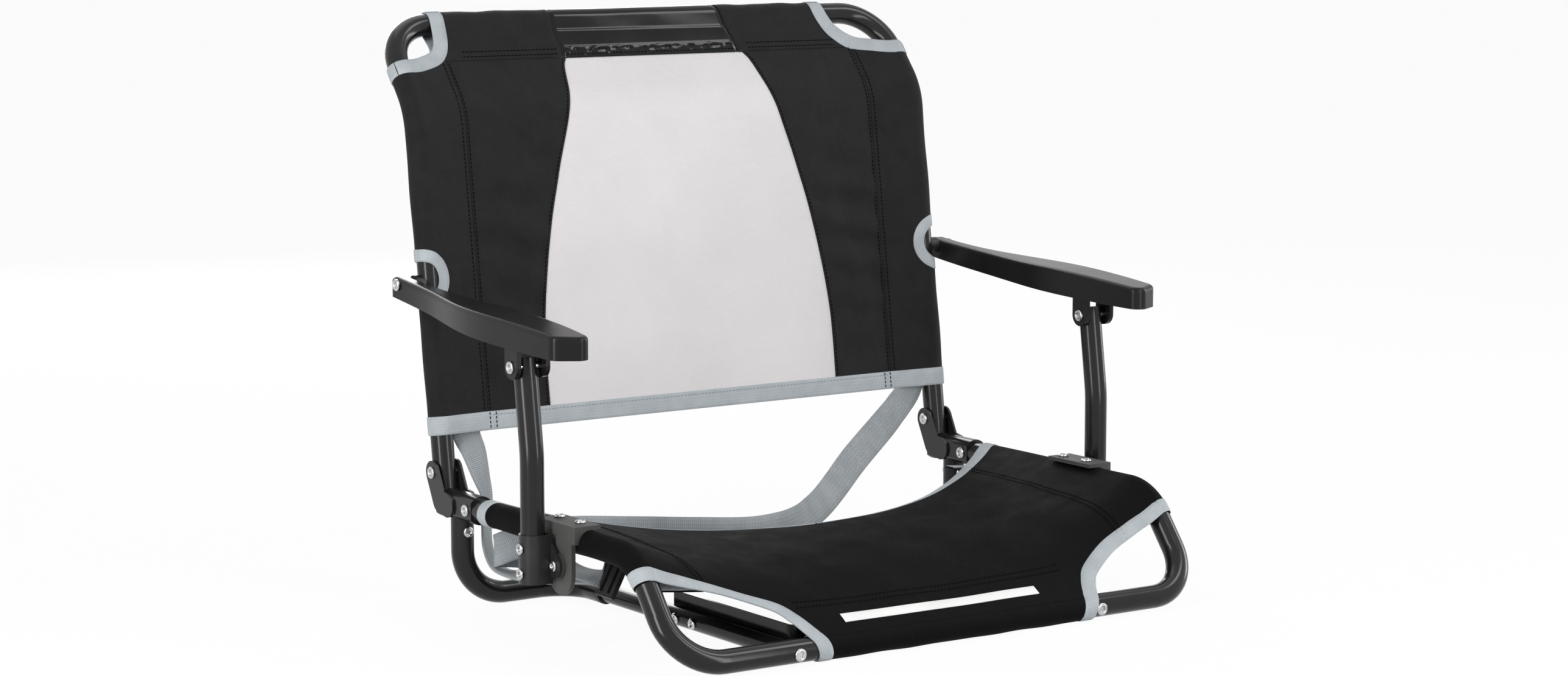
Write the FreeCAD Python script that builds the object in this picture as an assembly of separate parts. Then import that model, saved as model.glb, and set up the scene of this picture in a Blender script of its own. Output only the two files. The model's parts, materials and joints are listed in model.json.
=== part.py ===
import FreeCAD, Part
import math
import os

# Folding stadium chair with arms. The chair faces -Y, +X is to the right as seen from its front and
# +Z is up. The origin is the middle of the footprint, on the bench that the chair stands on.
# "fwd" is a distance in front of the hinge axis, "along" a distance up the upright from that axis.

V = FreeCAD.Vector

# Tube stock and clearances
tube_d = 19.0
tube_wall = 1.2
run_gap = 0.05
side_gap = 0.5
cloth = 0.8
cloth_gap = 0.3
binding_t = 0.6
binding_w = 12.5

# Hinge axis and overall span between the tube axes of the two sides
half_span = 254.0
hinge_height = 110.0
rail_height = 86.0

# Back frame: reclined uprights, swept rearward near the top
recline = 7.8
bend_along = 300.0
top_lean = 31.7
top_length = 87.0
bend_radius = 60.0
top_corner_radius = 42.0
upright_tail = 33.0
plug_cap = 4.0
plug_depth = 14.0

# Seat frame: level side rails that drop to the front rail
front_rail_fwd = 357.0
drop_angle = 52.0
drop_radius = 50.0
front_corner_radius = 42.0

# Rail tee, leg and hinge plates
tee_d = 24.0
tee_rear_fwd = 14.8
tee_front_fwd = 61.0
rail_end_fwd = 41.0
leg_fwd = 29.0
leg_top = 70.0
spigot_depth = 18.0
leg_bend_radius = 39.0
leg_turn_radius = 33.0
leg_end_fwd = 80.0
plate_t = 2.0
plate_r = 10.0
knee_fwd = 11.0
knee_height = 88.5
plate_end_fwd = 24.0
socket_fwd = 52.5
leg_rivet_drop = 5.0

# Stretchers, their bushes and the bench hook
stretcher_d = 15.0
stretcher_x = 149.0
stretcher_lap = 16.0
swaged_end = 24.0
bush_flange_w = 5.0
hook_t = 2.5
hook_rear_fwd = 176.0
hook_front_fwd = 342.0
hook_low = 2.0
hook_high = 27.0
hook_return = 34.0
hook_bend_r = 6.0
hook_rivet_first = 201.5
hook_rivet_pitch = 25.0

# Rivets
rivet_d = 6.0
head_d = 9.8
head_h = 2.2
small_rivet_d = 5.0
small_head_d = 8.4
# Rolled rim and cup of a head, as shares of its radius and height
rim_share = 0.7
cup_share = 0.42
cup_floor = 0.35

# Armrest and its pivots
arm_along = 157.0
arm_inner_x = 269.5
arm_thickness = 14.5
arm_wall = 3.0
arm_rear_fwd = -30.0
arm_nose_fwd = 300.0
arm_lug_root = 17.5
arm_round = 4.0
arm_edge_steps = 28
washer_r = 7.0
lug_fwd = 188.0
lug_height = 222.5
lug_t = 4.0
lug_r = 9.5
lug_clear = 1.5
arm_boss_r = 8.0
open_pivot_gap = 0.4
# Edges in plan as (distance outside the pivot's faces, fwd), side edges as (fwd, height over the pivot)
arm_outer_edge = [
    (0.0, -8.0), (3.3, 40.0), (8.5, 70.0), (13.9, 100.0), (17.2, 130.0), (17.9, 160.0), (17.0, 192.0),
    (15.8, 226.0), (14.3, 262.0), (12.3, 300.0),
]
arm_inner_edge = [
    (3.6, 300.0), (0.2, 262.0), (-2.8, 226.0), (-4.4, 192.0), (-5.2, 155.0), (-4.8, 128.0), (-2.8, 96.0),
    (-0.9, 66.0), (0.0, 36.0), (0.0, 8.0),
]
arm_top_edge = [(38.0, 0.6), (100.0, -2.8), (160.0, -5.2), (215.0, -8.6), (262.0, -12.9)]
arm_low_edge = [(255.0, -30.8), (200.0, -28.8), (140.0, -26.0), (80.0, -21.8), (20.0, -16.5)]
arm_rear_top = 6.6
arm_rear_low = -10.6
arm_nose_top = -17.0
arm_nose_low = -31.6
arm_nose_inner_fwd = 267.0
arm_nose_outer_fwd = 259.5
arm_nose_round = 9.0

# Arm post, its bracket and the clamp on the seat rail
post_x = 283.4
post_fwd = 193.5
post_set_back = 4.0
post_bend_height = 154.0
post_bend_radius = 120.0
post_foot = 52.0
post_end_past = 6.0
bracket_t = 1.6
bracket_top = 91.0
bracket_plate_t = 2.0
bracket_lobe_r = 9.5
bracket_rivet_low = 60.0
bracket_rivet_high = 80.0
clamp_rear = 33.0
clamp_front = 23.0
clamp_flange = 9.0
clamp_top_t = 3.2
clamp_wall = 3.6
clamp_lobe_r = 18.0
clamp_lobe_drop = 5.5
clamp_boss_r = 10.0
clamp_rivet_back = 8.0
clamp_rivet_pitch = 31.0

# Seat cover
sleeve_rear_fwd = 72.0
sleeve_front_turn = 50.0
seat_rear_bow = 90.0
seat_rear_middle_fwd = 165.0
seat_middle_height = 68.0
seat_edge_lean = 17.0
front_sleeve_half = 134.0
front_cut = [(222.0, 324.0), (176.0, 331.5), (146.0, 346.0)]
front_cut_slope = 0.4
sheet_columns = 17
sheet_rows = 25
label_half = 95.0
label_fwd = 341.0
label_w = 7.0

# Back cover
hem_along = 32.0
hem_h = 14.0
side_seam_in = 46.0
top_seam_down = 38.5
side_sleeve_past = 44.0
top_sleeve_half = 208.0
corner_cut_x = 202.0
corner_cut_z = 448.5
corner_cut_r = 16.0
# Half width of the mesh at distances below the top seam, and at the hem
mesh_edge = [
    (90.5, 0.0), (96.0, 10.0), (100.5, 30.5), (110.0, 67.2), (121.5, 104.8), (136.0, 162.3), (147.0, 235.6),
]
mesh_hem_half = 148.0
strip_half = 94.0
notch_along = 160.0
notch_r = 17.0

# Carry strap and its slider buckle
strap_w = 26.0
strap_t = 1.6
buckle_w = 34.0
buckle_l = 24.0
buckle_t = 4.0
buckle_slot_l = 4.0
buckle_slot_pitch = 11.0
buckle_turn = 28.0
buckle_place = (-192.5, 165.0, 41.0)

# Derived places
tube_r = tube_d / 2
bore_r = tube_r - tube_wall
rivet_r = rivet_d / 2
small_rivet_r = small_rivet_d / 2
stretcher_r = stretcher_d / 2
cover_in = tube_r + cloth_gap
cover_out = cover_in + cloth
front_rail_height = cover_out
recline_rad = math.radians(recline)
top_rad = math.radians(recline + top_lean)
top_rear = bend_along * math.sin(recline_rad) + top_length * math.sin(top_rad)
top_rise = bend_along * math.cos(recline_rad) + top_length * math.cos(top_rad)
hinge_y = (front_rail_fwd + tube_r + head_h - top_rear - cover_out - binding_t) / 2
drop_rad = math.radians(drop_angle)
drop_run = (rail_height - front_rail_height) / math.tan(drop_rad)
drop_vertex_fwd = front_rail_fwd - drop_run
drop_tangent = drop_radius * math.tan(drop_rad / 2)
drop_start_fwd = drop_vertex_fwd - drop_tangent
plate_in = tube_r + side_gap
plate_out = plate_in + plate_t
arm_fwd = -arm_along * math.sin(recline_rad)
arm_height = hinge_height + arm_along * math.cos(recline_rad)
foot_fwd = lug_fwd - arm_fwd
foot_height = lug_height - (arm_height - hinge_height)
clamp_out_x = half_span + cover_out + cloth_gap + clamp_wall
bracket_plate_x = post_x - tube_r - run_gap - bracket_plate_t
leg_height = tube_r


def at(x, fwd, z):
    return V(x, hinge_y - fwd, z)


def upright(x, along, normal=0.0):
    # Point on the straight upright; normal > 0 lies in front of it
    y = along * math.sin(recline_rad) - normal * math.cos(recline_rad)
    z = along * math.cos(recline_rad) + normal * math.sin(recline_rad)
    return V(x, hinge_y + y, hinge_height + z)


def bent_path(points, radii):
    # Straight runs joined by tangent arcs, one radius for each inner point
    edges = []
    start = points[0]
    for i, radius in enumerate(radii):
        before, corner, after = points[i], points[i + 1], points[i + 2]
        a = (before - corner).normalize()
        b = (after - corner).normalize()
        turn = math.pi - a.getAngle(b)
        reach = radius * math.tan(turn / 2)
        first = corner + a * reach
        last = corner + b * reach
        middle = (a + b).normalize()
        crown = corner + middle * (radius / math.cos(turn / 2) - radius)
        edges.append(Part.LineSegment(start, first).toShape())
        edges.append(Part.Arc(first, crown, last).toShape())
        start = last
    edges.append(Part.LineSegment(start, points[-1]).toShape())
    return Part.Wire(edges)


def pipe(points, radii, radius):
    ring = Part.Wire(Part.makeCircle(radius, points[0], points[1] - points[0]))
    return bent_path(points, radii).makePipeShell([ring], True, False)


def tube(points, radii, outer=tube_r, inner=bore_r):
    return pipe(points, radii, outer).cut(pipe(points, radii, inner))


def rod(start, end, radius):
    return Part.makeCylinder(radius, (end - start).Length, start, end - start)


def ring(start, end, outer, inner):
    return rod(start, end, outer).cut(rod(start, end, inner))


def block(x0, x1, fwd0, fwd1, z0, z1):
    return Part.makeBox(x1 - x0, fwd1 - fwd0, z1 - z0, at(x0, fwd1, z0))


def pin(start, end, shank_r, head_r, heads=1):
    # Turned about its axis: a shank with a rolled, cupped head beyond its end, or beyond both ends
    length = (end - start).Length
    way = (end - start).normalize()
    side = way.cross(V(way.y, way.z, way.x)).normalize()
    cup = head_h * cup_floor
    cup_r = head_r * cup_share

    def place(t, r):
        return start + way * t + side * r

    def line(t0, r0, t1, r1):
        return Part.LineSegment(place(t0, r0), place(t1, r1)).toShape()

    def head(t, sign):
        crown = place(t + sign * head_h, head_r * rim_share)
        floor = t + sign * cup
        return [Part.Arc(place(t, head_r), crown, place(floor, cup_r)).toShape(), line(floor, cup_r, floor, 0)]

    edges = head(length, 1) + [line(length, head_r, length, shank_r), line(length, shank_r, 0, shank_r)]
    if heads == 2:
        edges += [line(0, shank_r, 0, head_r)] + head(0, -1) + [line(-cup, 0, length + cup, 0)]
    else:
        edges += [line(0, shank_r, 0, 0), line(0, 0, length + cup, 0)]
    return Part.Face(Part.Wire(Part.__sortEdges__(edges))).revolve(start, way, 360)


def rivet(start, end, shank_r, head_r):
    return pin(start, end, shank_r, head_r, 2)


def cut_all(shape, tools):
    for tool in tools:
        shape = shape.cut(tool)
    return shape


def both(shape):
    return shape, shape.mirror(V(0, 0, 0), V(1, 0, 0))


def group(shapes):
    return Part.makeCompound(list(shapes))


def capsule(p, q, radius, x0, x1):
    # Flat link from p to q, given as (fwd, z), between the planes x0 and x1
    a = at(x0, *p)
    b = at(x0, *q)
    along = (b - a).normalize()
    side = V(1, 0, 0).cross(along) * radius
    cap = along * radius
    edges = [
        Part.LineSegment(a + side, b + side).toShape(),
        Part.Arc(b + side, b + cap, b - side).toShape(),
        Part.LineSegment(b - side, a - side).toShape(),
        Part.Arc(a - side, a - cap, a + side).toShape(),
    ]
    return Part.Face(Part.Wire(edges)).extrude(V(x1 - x0, 0, 0))


def spline(points):
    curve = Part.BSplineCurve()
    curve.interpolate(points)
    return curve.toShape()


# Back frame
def back_points():
    left_foot = upright(-half_span, -upright_tail)
    bend = upright(-half_span, bend_along)
    corner = V(-half_span, hinge_y + top_rear, hinge_height + top_rise)
    points = [left_foot, bend, corner]
    return points + [V(half_span, p.y, p.z) for p in reversed(points)]


def make_back_frame():
    radii = [bend_radius, top_corner_radius, top_corner_radius, bend_radius]
    reach = half_span + tube_d
    holes = [
        rod(upright(-reach, along), upright(reach, along), rivet_r + run_gap)
        for along in (0.0, arm_along)
    ]
    return cut_all(tube(back_points(), radii), holes)


def make_upright_plug(x):
    end = upright(x, -upright_tail)
    inside = upright(x, -upright_tail + plug_depth)
    low = upright(x, -upright_tail - plug_cap)
    dome_r = (tube_r ** 2 + plug_cap ** 2) / (2 * plug_cap)
    centre = upright(x, -upright_tail - plug_cap + dome_r)
    cap = Part.makeSphere(dome_r, centre).common(rod(end, low, tube_r))
    return cap.fuse(rod(end, inside, bore_r - run_gap)).removeSplitter()


# Seat frame
def seat_points():
    rear = at(-half_span, rail_end_fwd, rail_height)
    vertex = at(-half_span, drop_vertex_fwd, rail_height)
    corner = at(-half_span, front_rail_fwd, front_rail_height)
    points = [rear, vertex, corner]
    return points + [V(half_span, p.y, p.z) for p in reversed(points)]


def clamp_rivet_places():
    middle = foot_fwd - clamp_rivet_back
    return [middle - clamp_rivet_pitch / 2, middle + clamp_rivet_pitch / 2]


def clamp_rivet_holes(gap):
    return [
        rod(at(x, fwd, rail_height), at(x, fwd, rail_height + tee_d), small_rivet_r + gap)
        for x in (-half_span, half_span)
        for fwd in clamp_rivet_places()
    ]


def cross_hole(fwd, z, radius):
    # Straight through the chair from side to side
    reach = post_x + tube_d
    return rod(at(-reach, fwd, z), at(reach, fwd, z), radius)


def seat_radii():
    return [drop_radius, front_corner_radius, front_corner_radius, drop_radius]


def make_seat_frame():
    holes = [cross_hole(socket_fwd, rail_height, rivet_r + run_gap)]
    holes += clamp_rivet_holes(run_gap)
    for x in (-stretcher_x, stretcher_x):
        inner = at(x, front_rail_fwd - tube_d, leg_height)
        holes.append(rod(inner, at(x, front_rail_fwd + tube_d, leg_height), rivet_r + run_gap))
    return cut_all(tube(seat_points(), seat_radii()), holes)


# Tee that joins the seat rail to the leg
def make_tee():
    x = half_span
    sleeve = rod(at(x, tee_rear_fwd, rail_height), at(x, tee_front_fwd, rail_height), tee_d / 2)
    low = rail_height - tee_d
    flats = block(x - plate_in, x + plate_in, tee_rear_fwd, tee_front_fwd, low, rail_height + tee_d)
    neck = rod(at(x, leg_fwd, rail_height), at(x, leg_fwd, leg_top), tube_r)
    spigot = rod(at(x, leg_fwd, leg_top), at(x, leg_fwd, leg_top - spigot_depth), bore_r - run_gap)
    tee = sleeve.common(flats).fuse(neck).fuse(spigot).removeSplitter()
    rail_stop = at(x, rail_end_fwd - run_gap, rail_height)
    socket = rod(rail_stop, at(x, tee_front_fwd, rail_height), tube_r + run_gap)
    rivet_hole = cross_hole(socket_fwd, rail_height, rivet_r + run_gap)
    return cut_all(tee, [socket, rivet_hole, leg_rivet_hole()])


def leg_rivet_place(step):
    return at(half_span, leg_fwd + step, leg_top - leg_rivet_drop)


def leg_rivet_hole():
    return rod(leg_rivet_place(-tube_d), leg_rivet_place(tube_d), small_rivet_r + run_gap)


def make_leg_rivet():
    return rivet(leg_rivet_place(-tube_r), leg_rivet_place(tube_r), small_rivet_r, small_head_d / 2)


def make_leg():
    points = [
        at(half_span, leg_fwd, leg_top),
        at(half_span, leg_fwd, leg_height),
        at(stretcher_x, leg_fwd, leg_height),
        at(stretcher_x, leg_end_fwd, leg_height),
    ]
    return tube(points, [leg_bend_radius, leg_turn_radius]).cut(leg_rivet_hole())


# Two flat plates on each side carry the hinge rivet above and behind the rail
def make_hinge_plate(x0, x1):
    arm = capsule((0.0, hinge_height), (knee_fwd, knee_height), plate_r, x0, x1)
    foot = capsule((knee_fwd, knee_height), (plate_end_fwd, rail_height), plate_r, x0, x1)
    hinge_hole = cross_hole(0.0, hinge_height, rivet_r + run_gap)
    return arm.fuse(foot).removeSplitter().cut(hinge_hole)


def make_rail_rivet(fwd, z, reach):
    start = at(half_span - reach, fwd, z)
    return rivet(start, at(half_span + reach, fwd, z), rivet_r, head_d / 2)


# Stretchers run from the legs to the front rail
def make_bush():
    bush_r = bore_r - run_gap
    inside = at(stretcher_x, leg_end_fwd - stretcher_lap, leg_height)
    end = at(stretcher_x, leg_end_fwd, leg_height)
    face = at(stretcher_x, leg_end_fwd + bush_flange_w, leg_height)
    bush = rod(inside, end, bush_r).fuse(rod(end, face, tube_r))
    return bush.cut(rod(inside, face, stretcher_r + run_gap)).removeSplitter()


def make_stretcher():
    rear = at(stretcher_x, leg_end_fwd - stretcher_lap, leg_height)
    front = at(stretcher_x, front_rail_fwd - tube_r - cloth_gap, leg_height)
    swage = at(stretcher_x, front_rail_fwd - tube_r - swaged_end, leg_height)
    bore = rod(rear, swage, stretcher_r - tube_wall)
    return cut_all(rod(rear, front, stretcher_r), [bore, rod(swage, front, rivet_r + run_gap)])


def make_front_rivet():
    inner = at(stretcher_x, front_rail_fwd - tube_r - swaged_end, leg_height)
    outer = at(stretcher_x, front_rail_fwd + tube_r, leg_height)
    return pin(inner, outer, rivet_r, head_d / 2)


def hook_rivet_places():
    return [hook_rivet_first, hook_rivet_first + hook_rivet_pitch]


def hook_rivet_holes():
    left = -stretcher_x - stretcher_d
    right = -stretcher_x + stretcher_d
    return [
        rod(at(left, fwd, leg_height), at(right, fwd, leg_height), small_rivet_r + run_gap)
        for fwd in hook_rivet_places()
    ]


def make_hook():
    # Flat bar beside the left stretcher, turned inward behind the front rail
    x0 = -stretcher_x + stretcher_r
    x1 = x0 + hook_return
    middle = x0 + hook_t / 2
    points = [
        at(middle, hook_rear_fwd, hook_low),
        at(middle, hook_front_fwd, hook_low),
        at(x1, hook_front_fwd, hook_low),
    ]
    spine = bent_path(points, [hook_bend_r])
    half = hook_t / 2
    section = Part.makePolygon([
        at(middle - half, hook_rear_fwd, hook_low),
        at(middle + half, hook_rear_fwd, hook_low),
        at(middle + half, hook_rear_fwd, hook_high),
        at(middle - half, hook_rear_fwd, hook_high),
        at(middle - half, hook_rear_fwd, hook_low),
    ])
    bar = spine.makePipeShell([section], True, False)
    return cut_all(bar, hook_rivet_holes())


def make_hook_rivets():
    left = -stretcher_x - stretcher_r
    right = -stretcher_x + stretcher_r + hook_t
    return group(
        rivet(at(left, fwd, leg_height), at(right, fwd, leg_height), small_rivet_r, small_head_d / 2)
        for fwd in hook_rivet_places()
    )


# Armrest: plan outline and side outline cut from each other, hollow below, with two lugs
def arm_edge(points, inset):
    # Smooth line through the points, moved inward by the inset
    curve = Part.BSplineCurve()
    curve.interpolate(points)
    first = curve.FirstParameter
    last = curve.LastParameter
    moved = []
    for step in range(arm_edge_steps + 1):
        place = first + (last - first) * step / arm_edge_steps
        inward = V(0, 0, -1).cross(curve.tangent(place)[0])
        moved.append(curve.value(place) + inward * inset)
    return moved


def arm_plan(inset, nose_inset):
    # Prism of the outline from above, cut off along the slanted nose; the insets move its faces inward
    outer_x = arm_inner_x + arm_thickness
    tall = V(0, 0, 2 * arm_height)
    rear = at(outer_x, arm_rear_fwd, 0)
    outer = arm_edge([rear] + [at(outer_x + out, fwd, 0) for out, fwd in arm_outer_edge], inset)
    rear = at(arm_inner_x, arm_rear_fwd, 0)
    inner = arm_edge([at(arm_inner_x + out, fwd, 0) for out, fwd in arm_inner_edge] + [rear], inset)
    for end in (outer[0], inner[-1]):
        end.y -= inset
    edges = [
        spline(outer),
        Part.LineSegment(outer[-1], inner[0]).toShape(),
        spline(inner),
        Part.LineSegment(inner[-1], outer[0]).toShape(),
    ]
    corner = at(arm_inner_x, arm_nose_inner_fwd - nose_inset, 0)
    slant = at(outer_x, arm_nose_outer_fwd - nose_inset, 0) - corner
    ahead = at(0, arm_nose_fwd, 0) - at(0, arm_nose_outer_fwd, 0)
    ends = [corner - slant * 2, corner + slant * 4]
    ends += [ends[1] + ahead * 2, ends[0] + ahead * 2]
    nose = Part.Face(Part.makePolygon(ends + ends[:1])).extrude(tall)
    return Part.Face(Part.Wire(edges)).extrude(tall).cut(nose)


def arm_side(drop):
    top = [(arm_rear_fwd, arm_rear_top)] + arm_top_edge + [(arm_nose_fwd, arm_nose_top)]
    low = [(arm_nose_fwd, arm_nose_low)] + arm_low_edge + [(arm_rear_fwd, arm_rear_low)]
    upper = [at(0, fwd, arm_height + rise - drop) for fwd, rise in top]
    lower = [at(0, fwd, arm_height + rise - drop) for fwd, rise in low]
    edges = [
        spline(upper),
        Part.LineSegment(upper[-1], lower[0]).toShape(),
        spline(lower),
        Part.LineSegment(lower[-1], upper[0]).toShape(),
    ]
    return Part.Face(Part.Wire(edges)).extrude(V(2 * half_span, 0, 0))


def make_armrest():
    outer = round_nose(arm_plan(0.0, 0.0).common(arm_side(0.0)))
    pocket = arm_plan(arm_wall, arm_nose_round).common(arm_side(arm_wall))
    outer_x = arm_inner_x + arm_thickness
    boss = rod(at(arm_inner_x, arm_fwd, arm_height), at(outer_x, arm_fwd, arm_height), arm_boss_r)
    lug_gap = tube_r + lug_clear
    root = arm_height - arm_lug_root
    lugs = [
        capsule((lug_fwd, lug_height), (lug_fwd, root), lug_r, x0, x0 + lug_t)
        for x0 in (post_x - lug_gap - lug_t, post_x + lug_gap)
    ]
    shell = round_top(outer).cut(cut_all(pocket, lugs + [boss])).multiFuse(lugs)
    pivot = cross_hole(arm_fwd, arm_height, rivet_r + run_gap)
    hole = cross_hole(lug_fwd, lug_height, rivet_r + run_gap)
    return cut_all(shell, [pivot, hole])


def round_nose(arm):
    # Rounds the two upright edges of the nose
    front = at(0, lug_fwd, 0).y
    upright_edges = []
    for edge in arm.Edges:
        low, high = edge.Vertexes[0].Point, edge.Vertexes[-1].Point
        if math.hypot(high.x - low.x, high.y - low.y) < run_gap and low.y < front:
            upright_edges.append(edge)
    return arm.makeFillet(arm_nose_round, upright_edges)


def round_top(arm):
    # Rounds the edges between the top face and the faces round it
    def rise(face):
        u0, u1, v0, v1 = face.ParameterRange
        return face.normalAt((u0 + u1) / 2, (v0 + v1) / 2).z

    return arm.makeFillet(arm_round, max(arm.Faces, key=rise).Edges)


def make_arm_rivet():
    start = at(half_span - tube_r, arm_fwd, arm_height)
    end = at(arm_inner_x + arm_thickness + side_gap, arm_fwd, arm_height)
    return rivet(start, end, rivet_r, head_d / 2)


def make_arm_washer():
    start = at(half_span, arm_fwd, arm_height)
    end = at(arm_inner_x - cloth_gap, arm_fwd, arm_height)
    low = upright(half_span, arm_along - head_d)
    seat = rod(low, upright(half_span, arm_along + head_d), tube_r + run_gap)
    return ring(start, end, washer_r, rivet_r + run_gap).cut(seat)


def make_lug_rivet():
    reach = tube_r + lug_clear + lug_t
    start = at(post_x - reach, lug_fwd, lug_height)
    return rivet(start, at(post_x + reach, lug_fwd, lug_height), rivet_r, head_d / 2)


# Arm post with its bracket
def post_points():
    foot = at(post_x, post_fwd, post_foot)
    bend = at(post_x, post_fwd, post_bend_height)
    top = at(post_x, lug_fwd - post_set_back, lug_height)
    return [foot, bend, top + (top - bend).normalize() * post_end_past]


def bracket_rivet_heights():
    return [bracket_rivet_low, bracket_rivet_high]


def bracket_rivet_holes():
    return [
        rod(at(bracket_plate_x - run_gap, post_fwd, z), at(post_x + tube_d, post_fwd, z), small_rivet_r + run_gap)
        for z in bracket_rivet_heights()
    ]


def make_post():
    post = tube(post_points(), [post_bend_radius])
    lug_hole = cross_hole(lug_fwd, lug_height, rivet_r + open_pivot_gap)
    return cut_all(post, [lug_hole] + bracket_rivet_holes())


def make_bracket():
    inner = tube_r + run_gap
    outer = inner + bracket_t
    low = at(post_x, post_fwd, post_foot)
    high = at(post_x, post_fwd, bracket_top)
    wrap = rod(low, high, outer)
    x0 = bracket_plate_x
    x1 = bracket_plate_x + bracket_plate_t
    walls = block(x0, post_x, post_fwd - outer, post_fwd + outer, post_foot, bracket_top)
    inside = block(x1, post_x, post_fwd - inner, post_fwd + inner, post_foot, bracket_top)
    channel = wrap.fuse(walls).cut(rod(low, high, inner)).cut(inside)
    pivot = (foot_fwd, foot_height)
    lobe_low = capsule((post_fwd, foot_height), pivot, bracket_lobe_r, x0, x1)
    lobe_high = capsule((post_fwd, bracket_top - bracket_lobe_r), pivot, bracket_lobe_r, x0, x1)
    bracket = channel.fuse(lobe_low).fuse(lobe_high).removeSplitter()
    pivot_hole = cross_hole(foot_fwd, foot_height, rivet_r + run_gap)
    return cut_all(bracket, [pivot_hole] + bracket_rivet_holes())


def make_bracket_rivets():
    outside = post_x + tube_r + run_gap + bracket_t
    return group(
        pin(at(bracket_plate_x, post_fwd, z), at(outside, post_fwd, z), small_rivet_r, small_head_d / 2)
        for z in bracket_rivet_heights()
    )


# Clamp on the seat rail
def make_clamp():
    bore = cover_out + cloth_gap
    top0 = rail_height + bore
    top1 = top0 + clamp_top_t
    fwd0 = foot_fwd - clamp_rear
    fwd1 = foot_fwd + clamp_front
    inner_x = half_span - clamp_flange
    cap = block(inner_x, clamp_out_x, fwd0, fwd1, top0, top1)
    shoulder = block(half_span, clamp_out_x, fwd0, fwd1, rail_height, top0)
    shoulder = shoulder.cut(rod(at(half_span, fwd0, rail_height), at(half_span, fwd1, rail_height), bore))
    wall_x = clamp_out_x - clamp_wall
    lobe_z = foot_height - clamp_lobe_drop
    lobe = rod(at(wall_x, foot_fwd, lobe_z), at(clamp_out_x, foot_fwd, lobe_z), clamp_lobe_r)
    rear = foot_fwd - clamp_lobe_r
    skirt = block(wall_x, clamp_out_x, rear, foot_fwd + clamp_lobe_r, lobe_z, rail_height)
    boss_x = bracket_plate_x - cloth_gap
    boss = rod(at(wall_x, foot_fwd, foot_height), at(boss_x, foot_fwd, foot_height), clamp_boss_r)
    clamp = cap.multiFuse([shoulder, lobe, skirt, boss]).removeSplitter()
    pivot_hole = cross_hole(foot_fwd, foot_height, rivet_r + run_gap)
    return cut_all(clamp, [pivot_hole] + clamp_rivet_holes(run_gap))


def make_clamp_pivot():
    start = at(clamp_out_x - clamp_wall, foot_fwd, foot_height)
    end = at(bracket_plate_x + bracket_plate_t + run_gap, foot_fwd, foot_height)
    return rivet(start, end, rivet_r, small_head_d / 2)


def make_clamp_rivets():
    top = rail_height + cover_out + cloth_gap + clamp_top_t
    low = rail_height + bore_r
    return group(
        pin(at(half_span, fwd, low), at(half_span, fwd, top), small_rivet_r, small_head_d / 2)
        for fwd in clamp_rivet_places()
    )


# Seat cover
def seat_edge_z(fwd):
    # Height over the rail's axis of a cloth that leaves the rail at its lean
    reach = drop_radius + (cover_in + cloth / 2) / math.cos(math.radians(seat_edge_lean))
    centre = rail_height - drop_radius
    if fwd <= drop_start_fwd:
        return centre + reach
    turn_end = drop_start_fwd + reach * math.sin(drop_rad)
    if fwd <= turn_end:
        return centre + math.sqrt(reach ** 2 - (fwd - drop_start_fwd) ** 2)
    return centre + reach * math.cos(drop_rad) - (fwd - turn_end) * math.tan(drop_rad)


def seat_z(x, fwd):
    # The middle hangs below the rails and runs down to the front rail as the fourth power of the depth
    front_top = front_rail_height + cover_in + cloth / 2
    depth = (fwd - sleeve_rear_fwd) / (front_rail_fwd - sleeve_rear_fwd)
    middle = seat_middle_height - (seat_middle_height - front_top) * depth ** 4
    turn_end = drop_start_fwd + (drop_radius + cover_out) * math.sin(drop_rad)
    past = max(0.0, (fwd - turn_end) / (front_rail_fwd - turn_end))
    rise = (seat_edge_z(fwd) - middle) * (1 - past ** 2)
    return middle + rise * (x / half_span) ** 2


def seat_sheet(lift, thickness):
    grid = []
    for i in range(sheet_columns):
        x = half_span * (2 * i / (sheet_columns - 1) - 1)
        line = []
        for j in range(sheet_rows):
            fwd = sleeve_rear_fwd + (front_rail_fwd - sleeve_rear_fwd) * j / (sheet_rows - 1)
            line.append(at(x, fwd, seat_z(x, fwd) + lift))
        grid.append(line)
    surface = Part.BSplineSurface()
    surface.interpolate(grid)
    return surface.toShape().extrude(V(0, 0, thickness))


def seat_rear_curve(inset):
    points = []
    for share in (-1.0, -0.5, 0.0, 0.5, 1.0):
        bow = seat_rear_middle_fwd - seat_rear_bow * share ** 2
        points.append(at(share * half_span, bow + inset, 0))
    return points


def seat_plan(inset):
    # Outline of the cloth from above; inset moves the bound edges in
    side_end = drop_start_fwd + (drop_radius + cover_out) * math.sin(math.radians(sleeve_front_turn))
    cut = [(half_span, side_end - inset)]
    cut += [(x - inset * front_cut_slope, fwd - inset) for x, fwd in front_cut]
    cut.append((front_sleeve_half - inset, front_rail_fwd))
    right = [at(x, fwd, 0) for x, fwd in cut]
    left = [at(-x, fwd, 0) for x, fwd in reversed(cut)]
    rear = seat_rear_curve(inset)
    edges = [
        spline(rear),
        Part.LineSegment(rear[-1], right[0]).toShape(),
        spline(right),
        Part.LineSegment(right[-1], left[0]).toShape(),
        spline(left),
        Part.LineSegment(left[-1], rear[0]).toShape(),
    ]
    return Part.Face(Part.Wire(edges)).extrude(V(0, 0, 2 * hinge_height))


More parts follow.
